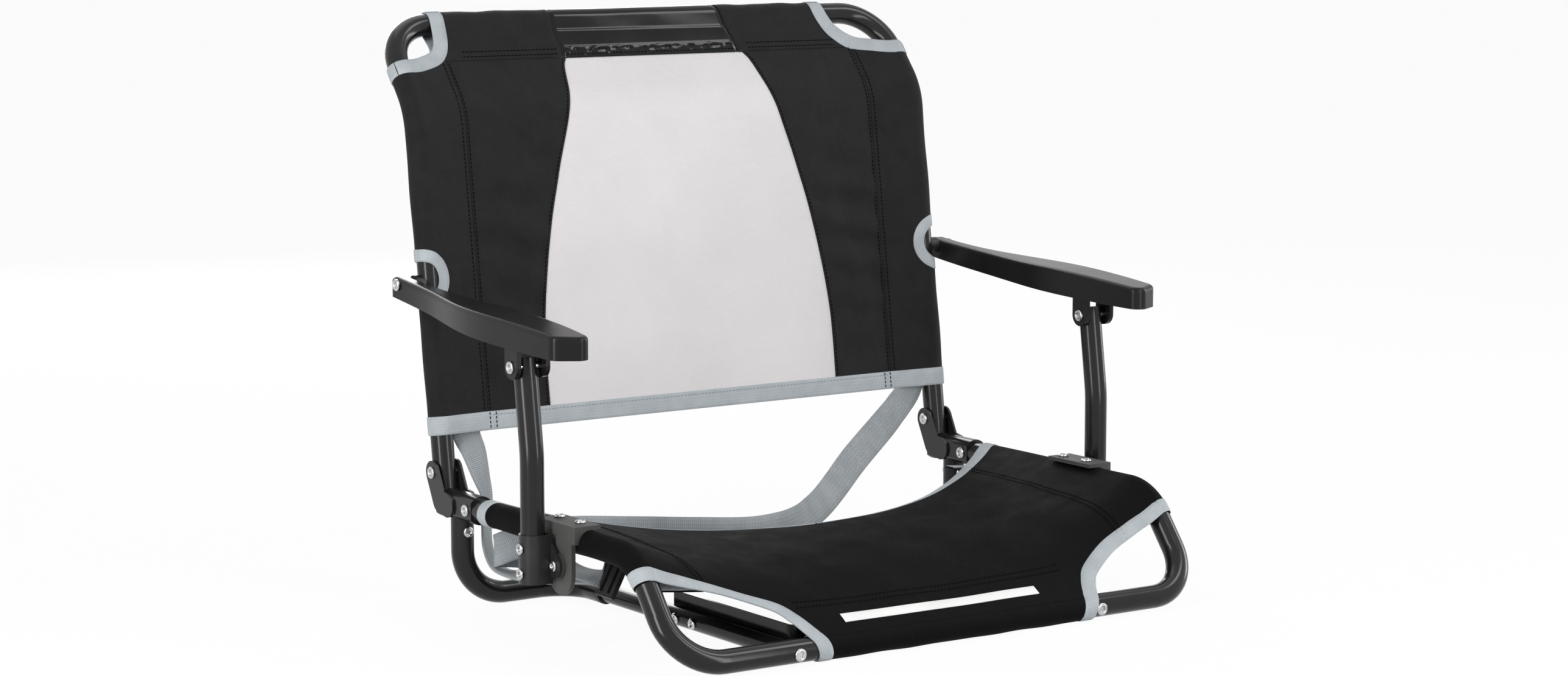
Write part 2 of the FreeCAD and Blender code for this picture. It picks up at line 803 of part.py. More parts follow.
def bend_ring(outer, inner, turn0, turn1):
    # Ring round the rail's drop bend between two angles of turn
    start = at(half_span, drop_start_fwd, rail_height)
    face = Part.Face(Part.Wire(Part.makeCircle(outer, start, V(0, -1, 0))))
    face = face.cut(Part.Face(Part.Wire(Part.makeCircle(inner, start, V(0, -1, 0)))))
    centre = at(half_span, drop_start_fwd, rail_height - drop_radius)
    face.rotate(centre, V(1, 0, 0), turn0)
    return face.revolve(centre, V(1, 0, 0), turn1 - turn0)


def rail_sleeve():
    # Sleeve round the side rail that ends part of the way round the drop bend
    rear = at(half_span, sleeve_rear_fwd, rail_height)
    run = ring(rear, at(half_span, drop_start_fwd, rail_height), cover_out, cover_in)
    return run.fuse(bend_ring(cover_out, cover_in, 0.0, sleeve_front_turn)).removeSplitter()


def front_sleeve():
    left = at(-front_sleeve_half, front_rail_fwd, front_rail_height)
    return ring(left, at(front_sleeve_half, front_rail_fwd, front_rail_height), cover_out, cover_in)


def make_seat_cover():
    holes = clamp_rivet_holes(cloth_gap)
    rail_space = pipe(seat_points(), seat_radii(), cover_in)
    panel = seat_sheet(-cloth / 2, cloth).common(seat_plan(0.0)).cut(holes + [rail_space])
    sleeves = list(both(rail_sleeve().cut(holes)))
    return panel.multiFuse(sleeves + [front_sleeve()]).removeSplitter()


def make_seat_binding(cover):
    # Tape along the bound edges, with a ring at each end of the side sleeves
    border = seat_plan(0.0).cut(seat_plan(binding_w))
    inside = half_span - cover_out
    border = border.common(block(-inside, inside, 0, front_rail_fwd - tube_r, 0, hinge_height))
    tape = seat_sheet(cloth / 2 + run_gap, binding_t).common(border)
    inner = cover_out + run_gap
    outer = cover_out + binding_t
    rear = at(half_span, sleeve_rear_fwd, rail_height)
    rear_ring = ring(rear, at(half_span, sleeve_rear_fwd + binding_w, rail_height), outer, inner)
    turn = math.degrees(binding_w / drop_radius)
    front_ring = bend_ring(outer, inner, sleeve_front_turn - turn, sleeve_front_turn)
    rings = both(rear_ring) + both(front_ring)
    return group([tape.cut(cover)] + [cut_all(piece, [cover, tape]) for piece in rings])


def make_seat_label():
    strip = seat_sheet(cloth / 2 + run_gap, binding_t / 2)
    return strip.common(block(-label_half, label_half, label_fwd, label_fwd + label_w, 0, hinge_height))


# Back cover: a section across the back carried up the uprights and round the bend
def sweep_back(section, past):
    # The section stands at the hem, in a plane square to the uprights
    up = V(0, math.sin(recline_rad), math.cos(recline_rad))
    reach = bend_radius * math.tan(math.radians(top_lean) / 2)
    run = section.extrude(up * (bend_along - reach - hem_along))
    section.translate(up * (bend_along - reach - hem_along))
    rear = V(0, math.cos(recline_rad), -math.sin(recline_rad))
    centre = upright(0, bend_along - reach) + rear * bend_radius
    bend = section.copy().revolve(centre, V(1, 0, 0), -top_lean)
    section.rotate(centre, V(1, 0, 0), -top_lean)
    top = section.extrude(V(0, math.sin(top_rad), math.cos(top_rad)) * (past - reach))
    return run.multiFuse([bend, top]).removeSplitter()


def strip_section(x0, x1, half):
    front = [upright(x, hem_along, half) for x in (x0, x1)]
    rear = [upright(x, hem_along, -half) for x in (x1, x0)]
    return Part.Face(Part.makePolygon(front + rear + front[:1]))


def sleeve_section(radius, tip):
    # Drop-shaped outline round the right upright, drawn in to the seam
    centre = upright(half_span, hem_along)
    seam = half_span - side_seam_in
    turn = math.asin(radius / side_seam_in)
    touch_x = half_span - radius * math.sin(turn)
    touch_n = radius * math.cos(turn)
    upper = upright(touch_x, hem_along, touch_n)
    lower = upright(touch_x, hem_along, -touch_n)
    edges = [
        Part.Arc(upper, centre + V(radius, 0, 0), lower).toShape(),
        Part.LineSegment(lower, upright(seam, hem_along, -tip)).toShape(),
        Part.LineSegment(upright(seam, hem_along, -tip), upright(seam, hem_along, tip)).toShape(),
        Part.LineSegment(upright(seam, hem_along, tip), upper).toShape(),
    ]
    return Part.Face(Part.Wire(edges))


def top_sleeve(radius, tip, half):
    # Drop-shaped outline round the top rail, drawn in to the seam below it
    down = V(0, -math.sin(top_rad), -math.cos(top_rad))
    front = V(0, -math.cos(top_rad), math.sin(top_rad))
    centre = V(-half, hinge_y + top_rear, hinge_height + top_rise)
    turn = math.asin(radius / top_seam_down)
    touch = down * (radius * math.sin(turn))
    side = front * (radius * math.cos(turn))
    seam = centre + down * top_seam_down
    edges = [
        Part.Arc(centre + touch + side, centre - down * radius, centre + touch - side).toShape(),
        Part.LineSegment(centre + touch - side, seam - front * tip).toShape(),
        Part.LineSegment(seam - front * tip, seam + front * tip).toShape(),
        Part.LineSegment(seam + front * tip, centre + touch + side).toShape(),
    ]
    return Part.Face(Part.Wire(edges)).extrude(V(2 * half, 0, 0))


def back_solids(swell):
    # Filled envelope of the back cover, swollen by a skin
    half = cloth / 2 + swell
    seam = half_span - side_seam_in
    panel = sweep_back(strip_section(-seam, seam, half), top_length - top_seam_down)
    sides = both(sweep_back(sleeve_section(cover_out + swell, half), side_sleeve_past))
    roof = top_sleeve(cover_out + swell, half, top_sleeve_half)
    return panel.multiFuse(list(sides) + [roof])


def back_hollows():
    inner = sweep_back(sleeve_section(cover_in, run_gap), side_sleeve_past)
    roof = top_sleeve(cover_in, run_gap, top_sleeve_half)
    return list(both(inner)) + [roof]


def top_seam_z():
    return hinge_height + top_rise - top_seam_down * math.cos(top_rad)


def mesh_cutter():
    deep = 4 * bend_radius
    y = hinge_y - deep
    hem_z = hinge_height + (hem_along - hem_h) * math.cos(recline_rad)
    right = [V(x, y, top_seam_z() - down) for x, down in mesh_edge] + [V(mesh_hem_half, y, hem_z)]
    left = [V(-p.x, p.y, p.z) for p in reversed(right)]
    edges = [
        spline(right),
        Part.LineSegment(right[-1], left[0]).toShape(),
        spline(left),
        Part.LineSegment(left[-1], right[0]).toShape(),
    ]
    return Part.Face(Part.Wire(edges)).extrude(V(0, 2 * deep, 0))


def notch_cutter(radius):
    low = upright(half_span + cover_out, notch_along, bend_radius)
    return rod(low, upright(half_span + cover_out, notch_along, -bend_radius), radius)


def corner_cutter(grow):
    # Round-cornered opening that leaves the frame's upper corner bare
    deep = 4 * bend_radius
    low = corner_cut_z - grow
    hole = block(corner_cut_x - grow, 2 * half_span, -deep, deep, low, low + deep)
    edges = [
        edge for edge in hole.Edges
        if all(abs(p.X - corner_cut_x + grow) + abs(p.Z - low) < run_gap for p in edge.Vertexes)
    ]
    return hole.makeFillet(corner_cut_r + grow, edges)


def make_back_cover():
    envelope = back_solids(0.0)
    openings = both(notch_cutter(notch_r)) + both(corner_cutter(0.0))
    cover = cut_all(envelope, back_hollows() + list(openings))
    wide = 2 * half_span
    strip_box = block(-strip_half, strip_half, -wide, wide, top_seam_z(), 2 * wide)
    mesh = cover.common(mesh_cutter()).cut(strip_box)
    strip = cover.common(strip_box)
    rest = cover.cut(mesh_cutter()).cut(strip_box)
    right, left = both(rest.common(block(0, wide, -wide, wide, 0, 2 * wide)))
    return envelope, left, right, mesh, strip


def make_back_binding(envelope):
    skin = cut_all(back_solids(binding_t), [envelope] + back_hollows())
    hem_top = hinge_height + (hem_along + hem_h) * math.cos(recline_rad)
    wide = 2 * half_span
    hem = skin.common(block(-wide, wide, -wide, wide, hinge_height, hem_top))
    bands = [hem]
    corner = skin.common(corner_cutter(binding_w).cut(corner_cutter(0.0)))
    notch = skin.common(notch_cutter(notch_r + binding_w).cut(notch_cutter(notch_r)))
    for piece in (corner, notch):
        bands += list(both(piece))
    return group(bands)


# Carry strap and its slider buckle
def strap_band(points):
    # Each point is (x, fwd, z) with the direction (x, fwd, z) of the strap's width there
    wires = []
    for i, (place, width) in enumerate(points):
        here = at(*place)
        before = at(*points[max(i - 1, 0)][0])
        after = at(*points[min(i + 1, len(points) - 1)][0])
        along = (after - before).normalize()
        across = V(width[0], -width[1], width[2])
        across = (across - along * across.dot(along)).normalize() * (strap_w / 2)
        thick = along.cross(across).normalize() * (strap_t / 2)
        corners = [here + across + thick, here - across + thick, here - across - thick, here + across - thick]
        wires.append(Part.makePolygon(corners + corners[:1]))
    return Part.makeLoft(wires, True, True)


def make_strap():
    long_strand = [
        ((231.0, -7.0, 137.0), (1.0, 0.0, 0.0)),
        ((230.0, -5.0, 128.0), (1.0, 0.0, 0.0)),
        ((214.0, 0.0, 114.0), (0.9, 0.2, -0.4)),
        ((172.0, 18.0, 95.0), (0.6, 0.3, -0.7)),
        ((118.0, 48.0, 68.0), (0.4, 0.5, -0.8)),
        ((66.0, 80.0, 50.0), (0.2, 0.7, -0.6)),
        ((8.0, 112.0, 49.0), (0.1, 0.8, 0.3)),
        ((-70.0, 130.0, 53.0), (0.0, 0.6, 0.8)),
        ((-150.0, 138.0, 57.0), (0.0, 0.2, 1.0)),
        ((-206.0, 130.0, 55.0), (0.0, 0.0, 1.0)),
        ((-232.0, 104.0, 52.0), (0.0, 0.0, 1.0)),
        ((-236.0, 76.0, 50.0), (0.0, 0.0, 1.0)),
        ((-224.0, 58.0, 48.0), (0.0, 0.0, 1.0)),
        ((-210.0, 68.0, 46.0), (0.0, 0.0, 1.0)),
        ((-203.0, 104.0, 44.0), (0.1, 0.0, 1.0)),
        ((-193.6, 151.4, 41.6), (0.47, 0.0, 0.88)),
    ]
    short_strand = [
        ((-229.0, -7.0, 137.0), (1.0, 0.0, 0.0)),
        ((-227.0, -3.0, 126.0), (1.0, 0.1, 0.0)),
        ((-222.0, 4.0, 110.0), (1.0, 0.2, 0.0)),
        ((-220.0, 13.0, 84.0), (0.9, 0.4, 0.0)),
        ((-219.0, 22.0, 54.0), (0.8, 0.6, 0.0)),
        ((-214.0, 36.0, 32.0), (0.6, 0.7, 0.1)),
        ((-196.0, 56.0, 24.0), (0.2, 0.9, 0.4)),
        ((-178.0, 96.0, 28.0), (0.3, 0.2, 0.9)),
        ((-191.4, 151.4, 40.4), (0.47, 0.0, 0.88)),
    ]
    return group([strap_band(long_strand), strap_band(short_strand)])


def make_buckle():
    corner = V(-buckle_t / 2, -buckle_l / 2, -buckle_w / 2)
    body = Part.makeBox(buckle_t, buckle_l, buckle_w, corner)
    slot_w = strap_w + 2 * cloth_gap
    for middle in (-buckle_slot_pitch / 2, buckle_slot_pitch / 2):
        corner = V(-buckle_t, middle - buckle_slot_l / 2, -slot_w / 2)
        body = body.cut(Part.makeBox(2 * buckle_t, buckle_slot_l, slot_w, corner))
    body.rotate(V(0, 0, 0), V(0, 1, 0), buckle_turn)
    body.translate(at(*buckle_place))
    return body


parts = {}
parts["back_frame"] = make_back_frame()
parts["upright_plugs"] = group(make_upright_plug(x) for x in (-half_span, half_span))
parts["seat_frame"] = make_seat_frame()
parts["rail_tee_right"], parts["rail_tee_left"] = both(make_tee())
parts["hinge_plate_right_outer"], parts["hinge_plate_left_outer"] = both(
    make_hinge_plate(half_span + plate_in, half_span + plate_out))
parts["hinge_plate_right_inner"], parts["hinge_plate_left_inner"] = both(
    make_hinge_plate(half_span - plate_out, half_span - plate_in))
parts["hinge_pivot_rivets"] = group(both(make_rail_rivet(0.0, hinge_height, plate_out)))
parts["socket_rivets"] = group(both(make_rail_rivet(socket_fwd, rail_height, plate_in)))
parts["rear_leg_right"], parts["rear_leg_left"] = both(make_leg())
parts["leg_rivets"] = group(both(make_leg_rivet()))
parts["stretcher_right"], plain_stretcher = both(make_stretcher())
parts["stretcher_left"] = cut_all(plain_stretcher, hook_rivet_holes())
parts["stretcher_bushes"] = group(both(make_bush()))
parts["front_rail_rivets"] = group(both(make_front_rivet()))
parts["bench_hook"] = make_hook()
parts["hook_rivets"] = make_hook_rivets()
parts["armrest_right"], parts["armrest_left"] = both(make_armrest())
parts["arm_pivot_rivets"] = group(both(make_arm_rivet()))
parts["arm_washers"] = group(both(make_arm_washer()))
parts["lug_rivet_right"], parts["lug_rivet_left"] = both(make_lug_rivet())
parts["arm_post_right"], parts["arm_post_left"] = both(make_post())
parts["post_bracket_right"], parts["post_bracket_left"] = both(make_bracket())
parts["bracket_rivets_right"], parts["bracket_rivets_left"] = both(make_bracket_rivets())
parts["rail_clamp_right"], parts["rail_clamp_left"] = both(make_clamp())
parts["clamp_pivot_rivets"] = group(both(make_clamp_pivot()))
parts["clamp_rivets"] = group(both(make_clamp_rivets()))
parts["seat_cover"] = make_seat_cover()
parts["seat_binding"] = make_seat_binding(parts["seat_cover"])
parts["seat_label"] = make_seat_label()
back_envelope, left_panel, right_panel, mesh, strip = make_back_cover()
parts["back_panel_left"] = left_panel
parts["back_panel_right"] = right_panel
parts["back_mesh"] = mesh
parts["top_strip"] = strip
parts["back_binding"] = make_back_binding(back_envelope)
parts["carry_strap"] = make_strap()
parts["strap_buckle"] = make_buckle()

os.makedirs("parts", exist_ok=True)
for name, shape in parts.items():
    box = shape.BoundBox
    print(name, "valid" if shape.isValid() else "INVALID", len(shape.Solids), round(shape.Volume), box)
    shape.exportStep("parts/" + name + ".step")
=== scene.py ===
import json
from math import pi, radians

import bmesh
import bpy
import numpy as np
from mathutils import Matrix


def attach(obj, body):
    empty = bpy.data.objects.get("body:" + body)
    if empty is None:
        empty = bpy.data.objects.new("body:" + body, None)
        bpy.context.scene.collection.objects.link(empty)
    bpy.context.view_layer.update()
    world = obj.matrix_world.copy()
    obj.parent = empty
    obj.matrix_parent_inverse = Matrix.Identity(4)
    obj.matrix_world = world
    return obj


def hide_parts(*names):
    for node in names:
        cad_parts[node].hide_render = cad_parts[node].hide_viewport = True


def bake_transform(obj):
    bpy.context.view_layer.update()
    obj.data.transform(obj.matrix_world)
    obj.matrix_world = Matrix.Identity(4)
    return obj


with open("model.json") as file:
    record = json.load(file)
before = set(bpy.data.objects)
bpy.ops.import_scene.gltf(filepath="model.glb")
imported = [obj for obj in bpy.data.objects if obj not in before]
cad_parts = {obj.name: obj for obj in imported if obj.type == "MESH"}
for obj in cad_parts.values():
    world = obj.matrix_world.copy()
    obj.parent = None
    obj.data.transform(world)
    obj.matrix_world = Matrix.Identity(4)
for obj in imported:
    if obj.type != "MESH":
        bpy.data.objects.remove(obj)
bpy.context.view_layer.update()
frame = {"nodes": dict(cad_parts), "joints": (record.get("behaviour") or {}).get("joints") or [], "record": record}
nodes = frame["nodes"]
print("frame loaded:", len(nodes), "nodes")

# all shapes are worked out in millimetres and put into the meshes in metres
mm = 0.001
hinge = 1000 * np.array(next(j for j in frame["joints"] if j["name"] == "back_fold")["pos_m"])

chair = {
    "span": 254,  # tube axis from the middle
    "clothRadius": 10.2,  # middle of the cloth round a tube
    "clothThick": 0.8,
    "tapeWide": 12.5,
    "tapeThick": 0.55,
}
wrap = chair["clothRadius"]


def addObject(name, data):
    made = bpy.data.objects.new(name, data)
    bpy.context.scene.collection.objects.link(made)
    return made


def meshPiece(name, grids, material, body, thick=0.0, weld=0.02):
    # each grid is (points[rows, cols, 3], uv[rows, cols, 2]); grid neighbours become quads
    points, uvs, quads, base = [], [], [], 0
    for grid, uv in grids:
        rows, cols = grid.shape[:2]
        index = base + np.arange(rows * cols).reshape(rows, cols)
        corners = [index[:-1, :-1], index[:-1, 1:], index[1:, 1:], index[1:, :-1]]
        quads.append(np.stack(corners, -1).reshape(-1, 4))
        points.append(grid.reshape(-1, 3))
        uvs.append(uv.reshape(-1, 2))
        base += rows * cols
    points, uvs, quads = np.concatenate(points), np.concatenate(uvs), np.concatenate(quads)
    mesh = bpy.data.meshes.new(name)
    mesh.from_pydata((points * mm).tolist(), [], quads.tolist())
    corner = np.empty(len(mesh.loops), np.int32)
    mesh.loops.foreach_get("vertex_index", corner)
    mesh.uv_layers.new(name="UVMap").data.foreach_set("uv", (uvs[corner] * mm).ravel())
    shell = bmesh.new()
    shell.from_mesh(mesh)
    bmesh.ops.remove_doubles(shell, verts=shell.verts, dist=weld * mm)
    bmesh.ops.recalc_face_normals(shell, faces=shell.faces)
    shell.to_mesh(mesh)
    shell.free()
    mesh.polygons.foreach_set("use_smooth", np.ones(len(mesh.polygons), bool))
    mesh.materials.append(material)
    piece = addObject(name, mesh)
    if thick:
        wall = piece.modifiers.new("thickness", "SOLIDIFY")
        wall.thickness, wall.offset = thick * mm, 0.0
    if body:
        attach(piece, body)
    return piece


def smoothPath(points, count):
    # Catmull-Rom line through the points: cubic between neighbours, slopes from the points either side
    points = np.asarray(points, float)
    ends = np.vstack([2 * points[0] - points[1], points, 2 * points[-1] - points[-2]])
    t = np.linspace(0, len(points) - 1, count)
    i = np.minimum(t.astype(int), len(points) - 2)
    f = (t - i)[:, None]
    a, b, c, d = ends[i], ends[i + 1], ends[i + 2], ends[i + 3]
    return b + 0.5 * f * (c - a + f * (2 * a - 5 * b + 4 * c - d + f * (3 * (b - c) + d - a)))


def ripple(u, v, waves):
    # sum of slanted sine waves: height, wavelengths along u and v, phase
    total = 0.0
    for height, alongU, alongV, phase in waves:
        total = total + height * np.sin(2 * pi * (u / alongU + v / alongV) + phase)
    return total


def runLength(points):
    # distance travelled along a line of points
    step = np.linalg.norm(np.diff(points, axis=0), axis=1)
    return np.concatenate([[0], np.cumsum(step)])


def unit(v):
    return v / np.linalg.norm(v, axis=1)[:, None]


def squareTo(along, v):
    # what is left of v square to a unit direction, made 1 long
    return unit(v - along * (v * along).sum(1)[:, None])


def pair(u, v):
    # UV grid from two values or rows
    return np.stack(np.broadcast_arrays(u, v), -1)


# finishes

noiseLow, noiseHigh = 0.3, 0.7  # where nearly all of a noise texture's values lie


def startFinish(name):
    # material, its node tree, its shader
    material = bpy.data.materials.new(name)
    material.use_nodes = True
    return material, material.node_tree, material.node_tree.nodes["Principled BSDF"]


def node(tree, kind, inputs=None, **settings):
    # an input is either a value or another node's socket
    made = tree.nodes.new(kind)
    for key, value in settings.items():
        setattr(made, key, value)
    for key, value in (inputs or {}).items():
        if isinstance(value, bpy.types.NodeSocket):
            tree.links.new(value, made.inputs[key])
        else:
            made.inputs[key].default_value = value
    return made


def setShader(shader, values):
    for key, value in values.items():
        shader.inputs[key].default_value = value


def maths(tree, operation, *values):
    return node(tree, "ShaderNodeMath", dict(enumerate(values)), operation=operation).outputs[0]


def span(tree, value, fromLow, fromHigh, toLow, toHigh):
    return node(tree, "ShaderNodeMapRange", {"Value": value, "From Min": fromLow, "From Max": fromHigh,
                                             "To Min": toLow, "To Max": toHigh}).outputs["Result"]


def noise(tree, scale, detail, **more):
    # noise in the piece's own space
    space = node(tree, "ShaderNodeTexCoord").outputs["Object"]
    return node(tree, "ShaderNodeTexNoise",
                {"Vector": space, "Scale": scale, "Detail": detail, **more}).outputs["Fac"]


def bands(tree, uv, pitch, direction):
    # wave texture with one band per pitch: it repeats every 2 pi / (20 scale), and the UV map is in metres
    scale = 2 * pi / (20 * pitch * mm)
    return node(tree, "ShaderNodeTexWave", {"Vector": uv, "Scale": scale}, bands_direction=direction).outputs["Fac"]


def bump(tree, height, strength, deep, **more):
    return node(tree, "ShaderNodeBump",
                {"Height": height, "Strength": strength, "Distance": deep, **more}).outputs["Normal"]


def addTone(tree, shader, value, low, high, look):
    # base colour from dark to light while a pattern's value goes from low to high;
    # the mix node's colours are its inputs 6 and 7 and its output 2
    share = span(tree, value, low, high, 0.0, 1.0)
    mix = node(tree, "ShaderNodeMix", {0: share, 6: (*look["dark"], 1), 7: (*look["light"], 1)}, data_type="RGBA")
    tree.links.new(mix.outputs[2], shader.inputs["Base Color"])


def addRoughness(tree, shader, cloud, ends):
    # roughness between two ends by the slow clouds
    tree.links.new(span(tree, cloud, noiseLow, noiseHigh, *ends), shader.inputs["Roughness"])


def wovenFinish(name, look):
    # plain weave on the piece's own UV map: two crossing wave bands, swapped cell by cell by a checker;
    # tone = 0.65 cloud + 0.35 weave
    cloudShare, weaveShare = 0.65, 0.35
    creaseScale, creaseDeep, threadDeep = 27.0, 0.004, 0.00022
    material, tree, shader = startFinish(name)
    uv = node(tree, "ShaderNodeUVMap", uv_map="UVMap").outputs["UV"]
    warp, weft = bands(tree, uv, look["pitch"], "X"), bands(tree, uv, look["pitch"], "Y")
    cell = node(tree, "ShaderNodeTexChecker", {"Vector": uv, "Scale": 1000 / look["pitch"]}).outputs["Fac"]
    weave = node(tree, "ShaderNodeMix", {0: cell, 2: warp, 3: weft}, data_type="FLOAT").outputs[0]
    cloud = noise(tree, look["cloud"], 4.0)
    tone = maths(tree, "MULTIPLY_ADD", weave, weaveShare, maths(tree, "MULTIPLY", cloud, cloudShare))
    addTone(tree, shader, tone, 0.25, 0.75, look)
    addRoughness(tree, shader, cloud, look["rough"])
    crease = bump(tree, noise(tree, creaseScale, 4.0, Distortion=0.8), look["crease"], creaseDeep)
    threads = bump(tree, weave, look["bump"], look["pitch"] * threadDeep, Normal=crease)
    tree.links.new(threads, shader.inputs["Normal"])
    setShader(shader, {"Sheen Weight": look["sheen"], "Sheen Roughness": 0.5, "Specular IOR Level": look["gloss"]})
    return material


def ribbedFinish(name, look):
    # tape and webbing: ribs across the run, warp ends along it, on the piece's own UV map;
    # weave = ribs + 0.4 ends, tone = cloud + 0.45 weave
    endShare, weaveShare, ribDeep = 0.4, 0.45, 0.0002
    material, tree, shader = startFinish(name)
    uv = node(tree, "ShaderNodeUVMap", uv_map="UVMap").outputs["UV"]
    ribs, ends = bands(tree, uv, look["rib"], "X"), bands(tree, uv, look["end"], "Y")
    weave = maths(tree, "MULTIPLY_ADD", ends, endShare, ribs)
    tone = maths(tree, "MULTIPLY_ADD", weave, weaveShare, noise(tree, look["cloud"], 5.0))
    addTone(tree, shader, tone, 0.4, 1.2, look)
    tree.links.new(bump(tree, weave, look["bump"], look["rib"] * ribDeep), shader.inputs["Normal"])
    setShader(shader, {"Roughness": 0.75, "Sheen Weight": look["sheen"], "Sheen Roughness": 0.4,
                       "Specular IOR Level": look["gloss"]})
    return material


def coatedFinish(name, look):
    # painted metal and moulded plastic: fine grain in the bump, slow clouds in tone and roughness;
    # tone = cloud + flake x grain, with both around 0.5
    grainDeep = 0.0002
    material, tree, shader = startFinish(name)
    grain, cloud = noise(tree, look["grain"], 3.0), noise(tree, look["cloud"], 4.0)
    low = noiseLow + 0.5 * look["flake"] - 0.15
    addTone(tree, shader, maths(tree, "MULTIPLY_ADD", grain, look["flake"], cloud), low, low + 0.7, look)
    addRoughness(tree, shader, cloud, look["rough"])
    tree.links.new(bump(tree, grain, look["bump"], grainDeep), shader.inputs["Normal"])
    setShader(shader, {"Metallic": look.get("metal", 0.0), "Specular IOR Level": look["gloss"]})
    return material


# the seat is the same black fabric as blackCloth; its tone is set about three times darker as painted shade on the
# upturned seat
seatClothPaintedShade = wovenFinish("seatClothPaintedShade", {
    "pitch": 0.9, "dark": (0.0026, 0.0026, 0.0028), "light": (0.0066, 0.0066, 0.0069), "cloud": 55,
    "rough": (0.6, 0.75), "bump": 0.7, "crease": 0.45, "sheen": 0, "gloss": 0.035})
blackCloth = wovenFinish("blackCloth", {
    "pitch": 0.9, "dark": (0.009, 0.009, 0.0098), "light": (0.0215, 0.0215, 0.0228), "cloud": 55,
    "rough": (0.55, 0.7), "bump": 0.7, "crease": 0.8, "sheen": 0.02, "gloss": 0.07})
paleMesh = wovenFinish("paleMesh", {
    "pitch": 1.3, "dark": (0.63, 0.605, 0.615), "light": (0.765, 0.738, 0.748), "cloud": 9,
    "rough": (0.6, 0.7), "bump": 0.5, "crease": 0.06, "sheen": 0.05, "gloss": 0.2})
greyTape = ribbedFinish("greyTape", {
    "rib": 1, "end": 2.4, "dark": (0.33, 0.365, 0.39), "light": (0.47, 0.505, 0.53), "cloud": 60,
    "bump": 0.6, "sheen": 0.12, "gloss": 0.3})
greyWebbing = ribbedFinish("greyWebbing", {
    "rib": 1.7, "end": 3.2, "dark": (0.25, 0.275, 0.293), "light": (0.39, 0.415, 0.435), "cloud": 45,
    "bump": 0.9, "sheen": 0.12, "gloss": 0.3})
whiteStrip = ribbedFinish("whiteStrip", {
    "rib": 0.7, "end": 0.9, "dark": (0.78, 0.78, 0.77), "light": (0.88, 0.88, 0.87), "cloud": 40,
    "bump": 0.25, "sheen": 0.05, "gloss": 0.3})
blackThread = ribbedFinish("blackThread", {
    "rib": 0.6, "end": 0.8, "dark": (0.002, 0.002, 0.002), "light": (0.005, 0.005, 0.005), "cloud": 200,
    "bump": 0.5, "sheen": 0, "gloss": 0.02})
greyThread = ribbedFinish("greyThread", {
    "rib": 0.6, "end": 0.8, "dark": (0.24, 0.265, 0.285), "light": (0.36, 0.385, 0.405), "cloud": 200,
    "bump": 0.5, "sheen": 0.1, "gloss": 0.2})
blackVinyl = coatedFinish("blackVinyl", {
    "grain": 240, "cloud": 26, "flake": 0.2, "dark": (0.004, 0.004, 0.005),
    "light": (0.008, 0.008, 0.009), "rough": (0.1, 0.16), "bump": 0.05, "gloss": 0.2})
darkTube = coatedFinish("darkTube", {
    "grain": 1600, "cloud": 20, "flake": 0.5, "dark": (0.008, 0.008, 0.009),
    "light": (0.014, 0.014, 0.015), "rough": (0.16, 0.22), "bump": 0.03, "gloss": 0.27})
blackTube = coatedFinish("blackTube", {
    "grain": 1400, "cloud": 24, "flake": 0.4, "dark": (0.005, 0.005, 0.0055),
    "light": (0.009, 0.009, 0.0095), "rough": (0.14, 0.2), "bump": 0.03, "gloss": 0.2})
darkPlate = coatedFinish("darkPlate", {
    "grain": 1300, "cloud": 35, "flake": 0.4, "dark": (0.01, 0.01, 0.011),
    "light": (0.022, 0.022, 0.023), "rough": (0.3, 0.4), "bump": 0.12, "metal": 0.1, "gloss": 0.35})
zincRivet = coatedFinish("zincRivet", {
    "grain": 700, "cloud": 120, "flake": 0.4, "dark": (0.36, 0.36, 0.37),
    "light": (0.66, 0.66, 0.66), "rough": (0.16, 0.28), "bump": 0.25, "metal": 1, "gloss": 0.5})
armPlastic = coatedFinish("armPlastic", {
    "grain": 1500, "cloud": 14, "flake": 0.3, "dark": (0.009, 0.009, 0.0097),
    "light": (0.016, 0.016, 0.0168), "rough": (0.2, 0.26), "bump": 0.08, "gloss": 0.13})
clampPlastic = coatedFinish("clampPlastic", {
    "grain": 1200, "cloud": 22, "flake": 0.3, "dark": (0.046, 0.046, 0.044),
    "light": (0.074, 0.074, 0.07), "rough": (0.5, 0.62), "bump": 0.3, "gloss": 0.3})
blackPlastic = coatedFinish("blackPlastic", {
    "grain": 1200, "cloud": 30, "flake": 0.3, "dark": (0.006, 0.006, 0.006),
    "light": (0.013, 0.013, 0.013), "rough": (0.35, 0.5), "bump": 0.2, "gloss": 0.35})

slotFinish = {"tube": darkTube, "plate": darkPlate, "zinc": zincRivet, "arm_plastic": armPlastic,
              "clamp_plastic": clampPlastic, "black_plastic": blackPlastic, "black_cloth": blackCloth,
              "pale_mesh": paleMesh, "black_vinyl": blackVinyl, "edge_tape": greyTape, "webbing": greyWebbing,
              "white_tape": whiteStrip}
for entry in frame["record"]["subparts"]:
    for place in nodes[entry["node"]].material_slots:
        place.material = slotFinish[entry["material_slot"]]
for name in ("stretcher_right", "stretcher_left", "bench_hook"):
    nodes[name].material_slots[0].material = blackTube

# back cover

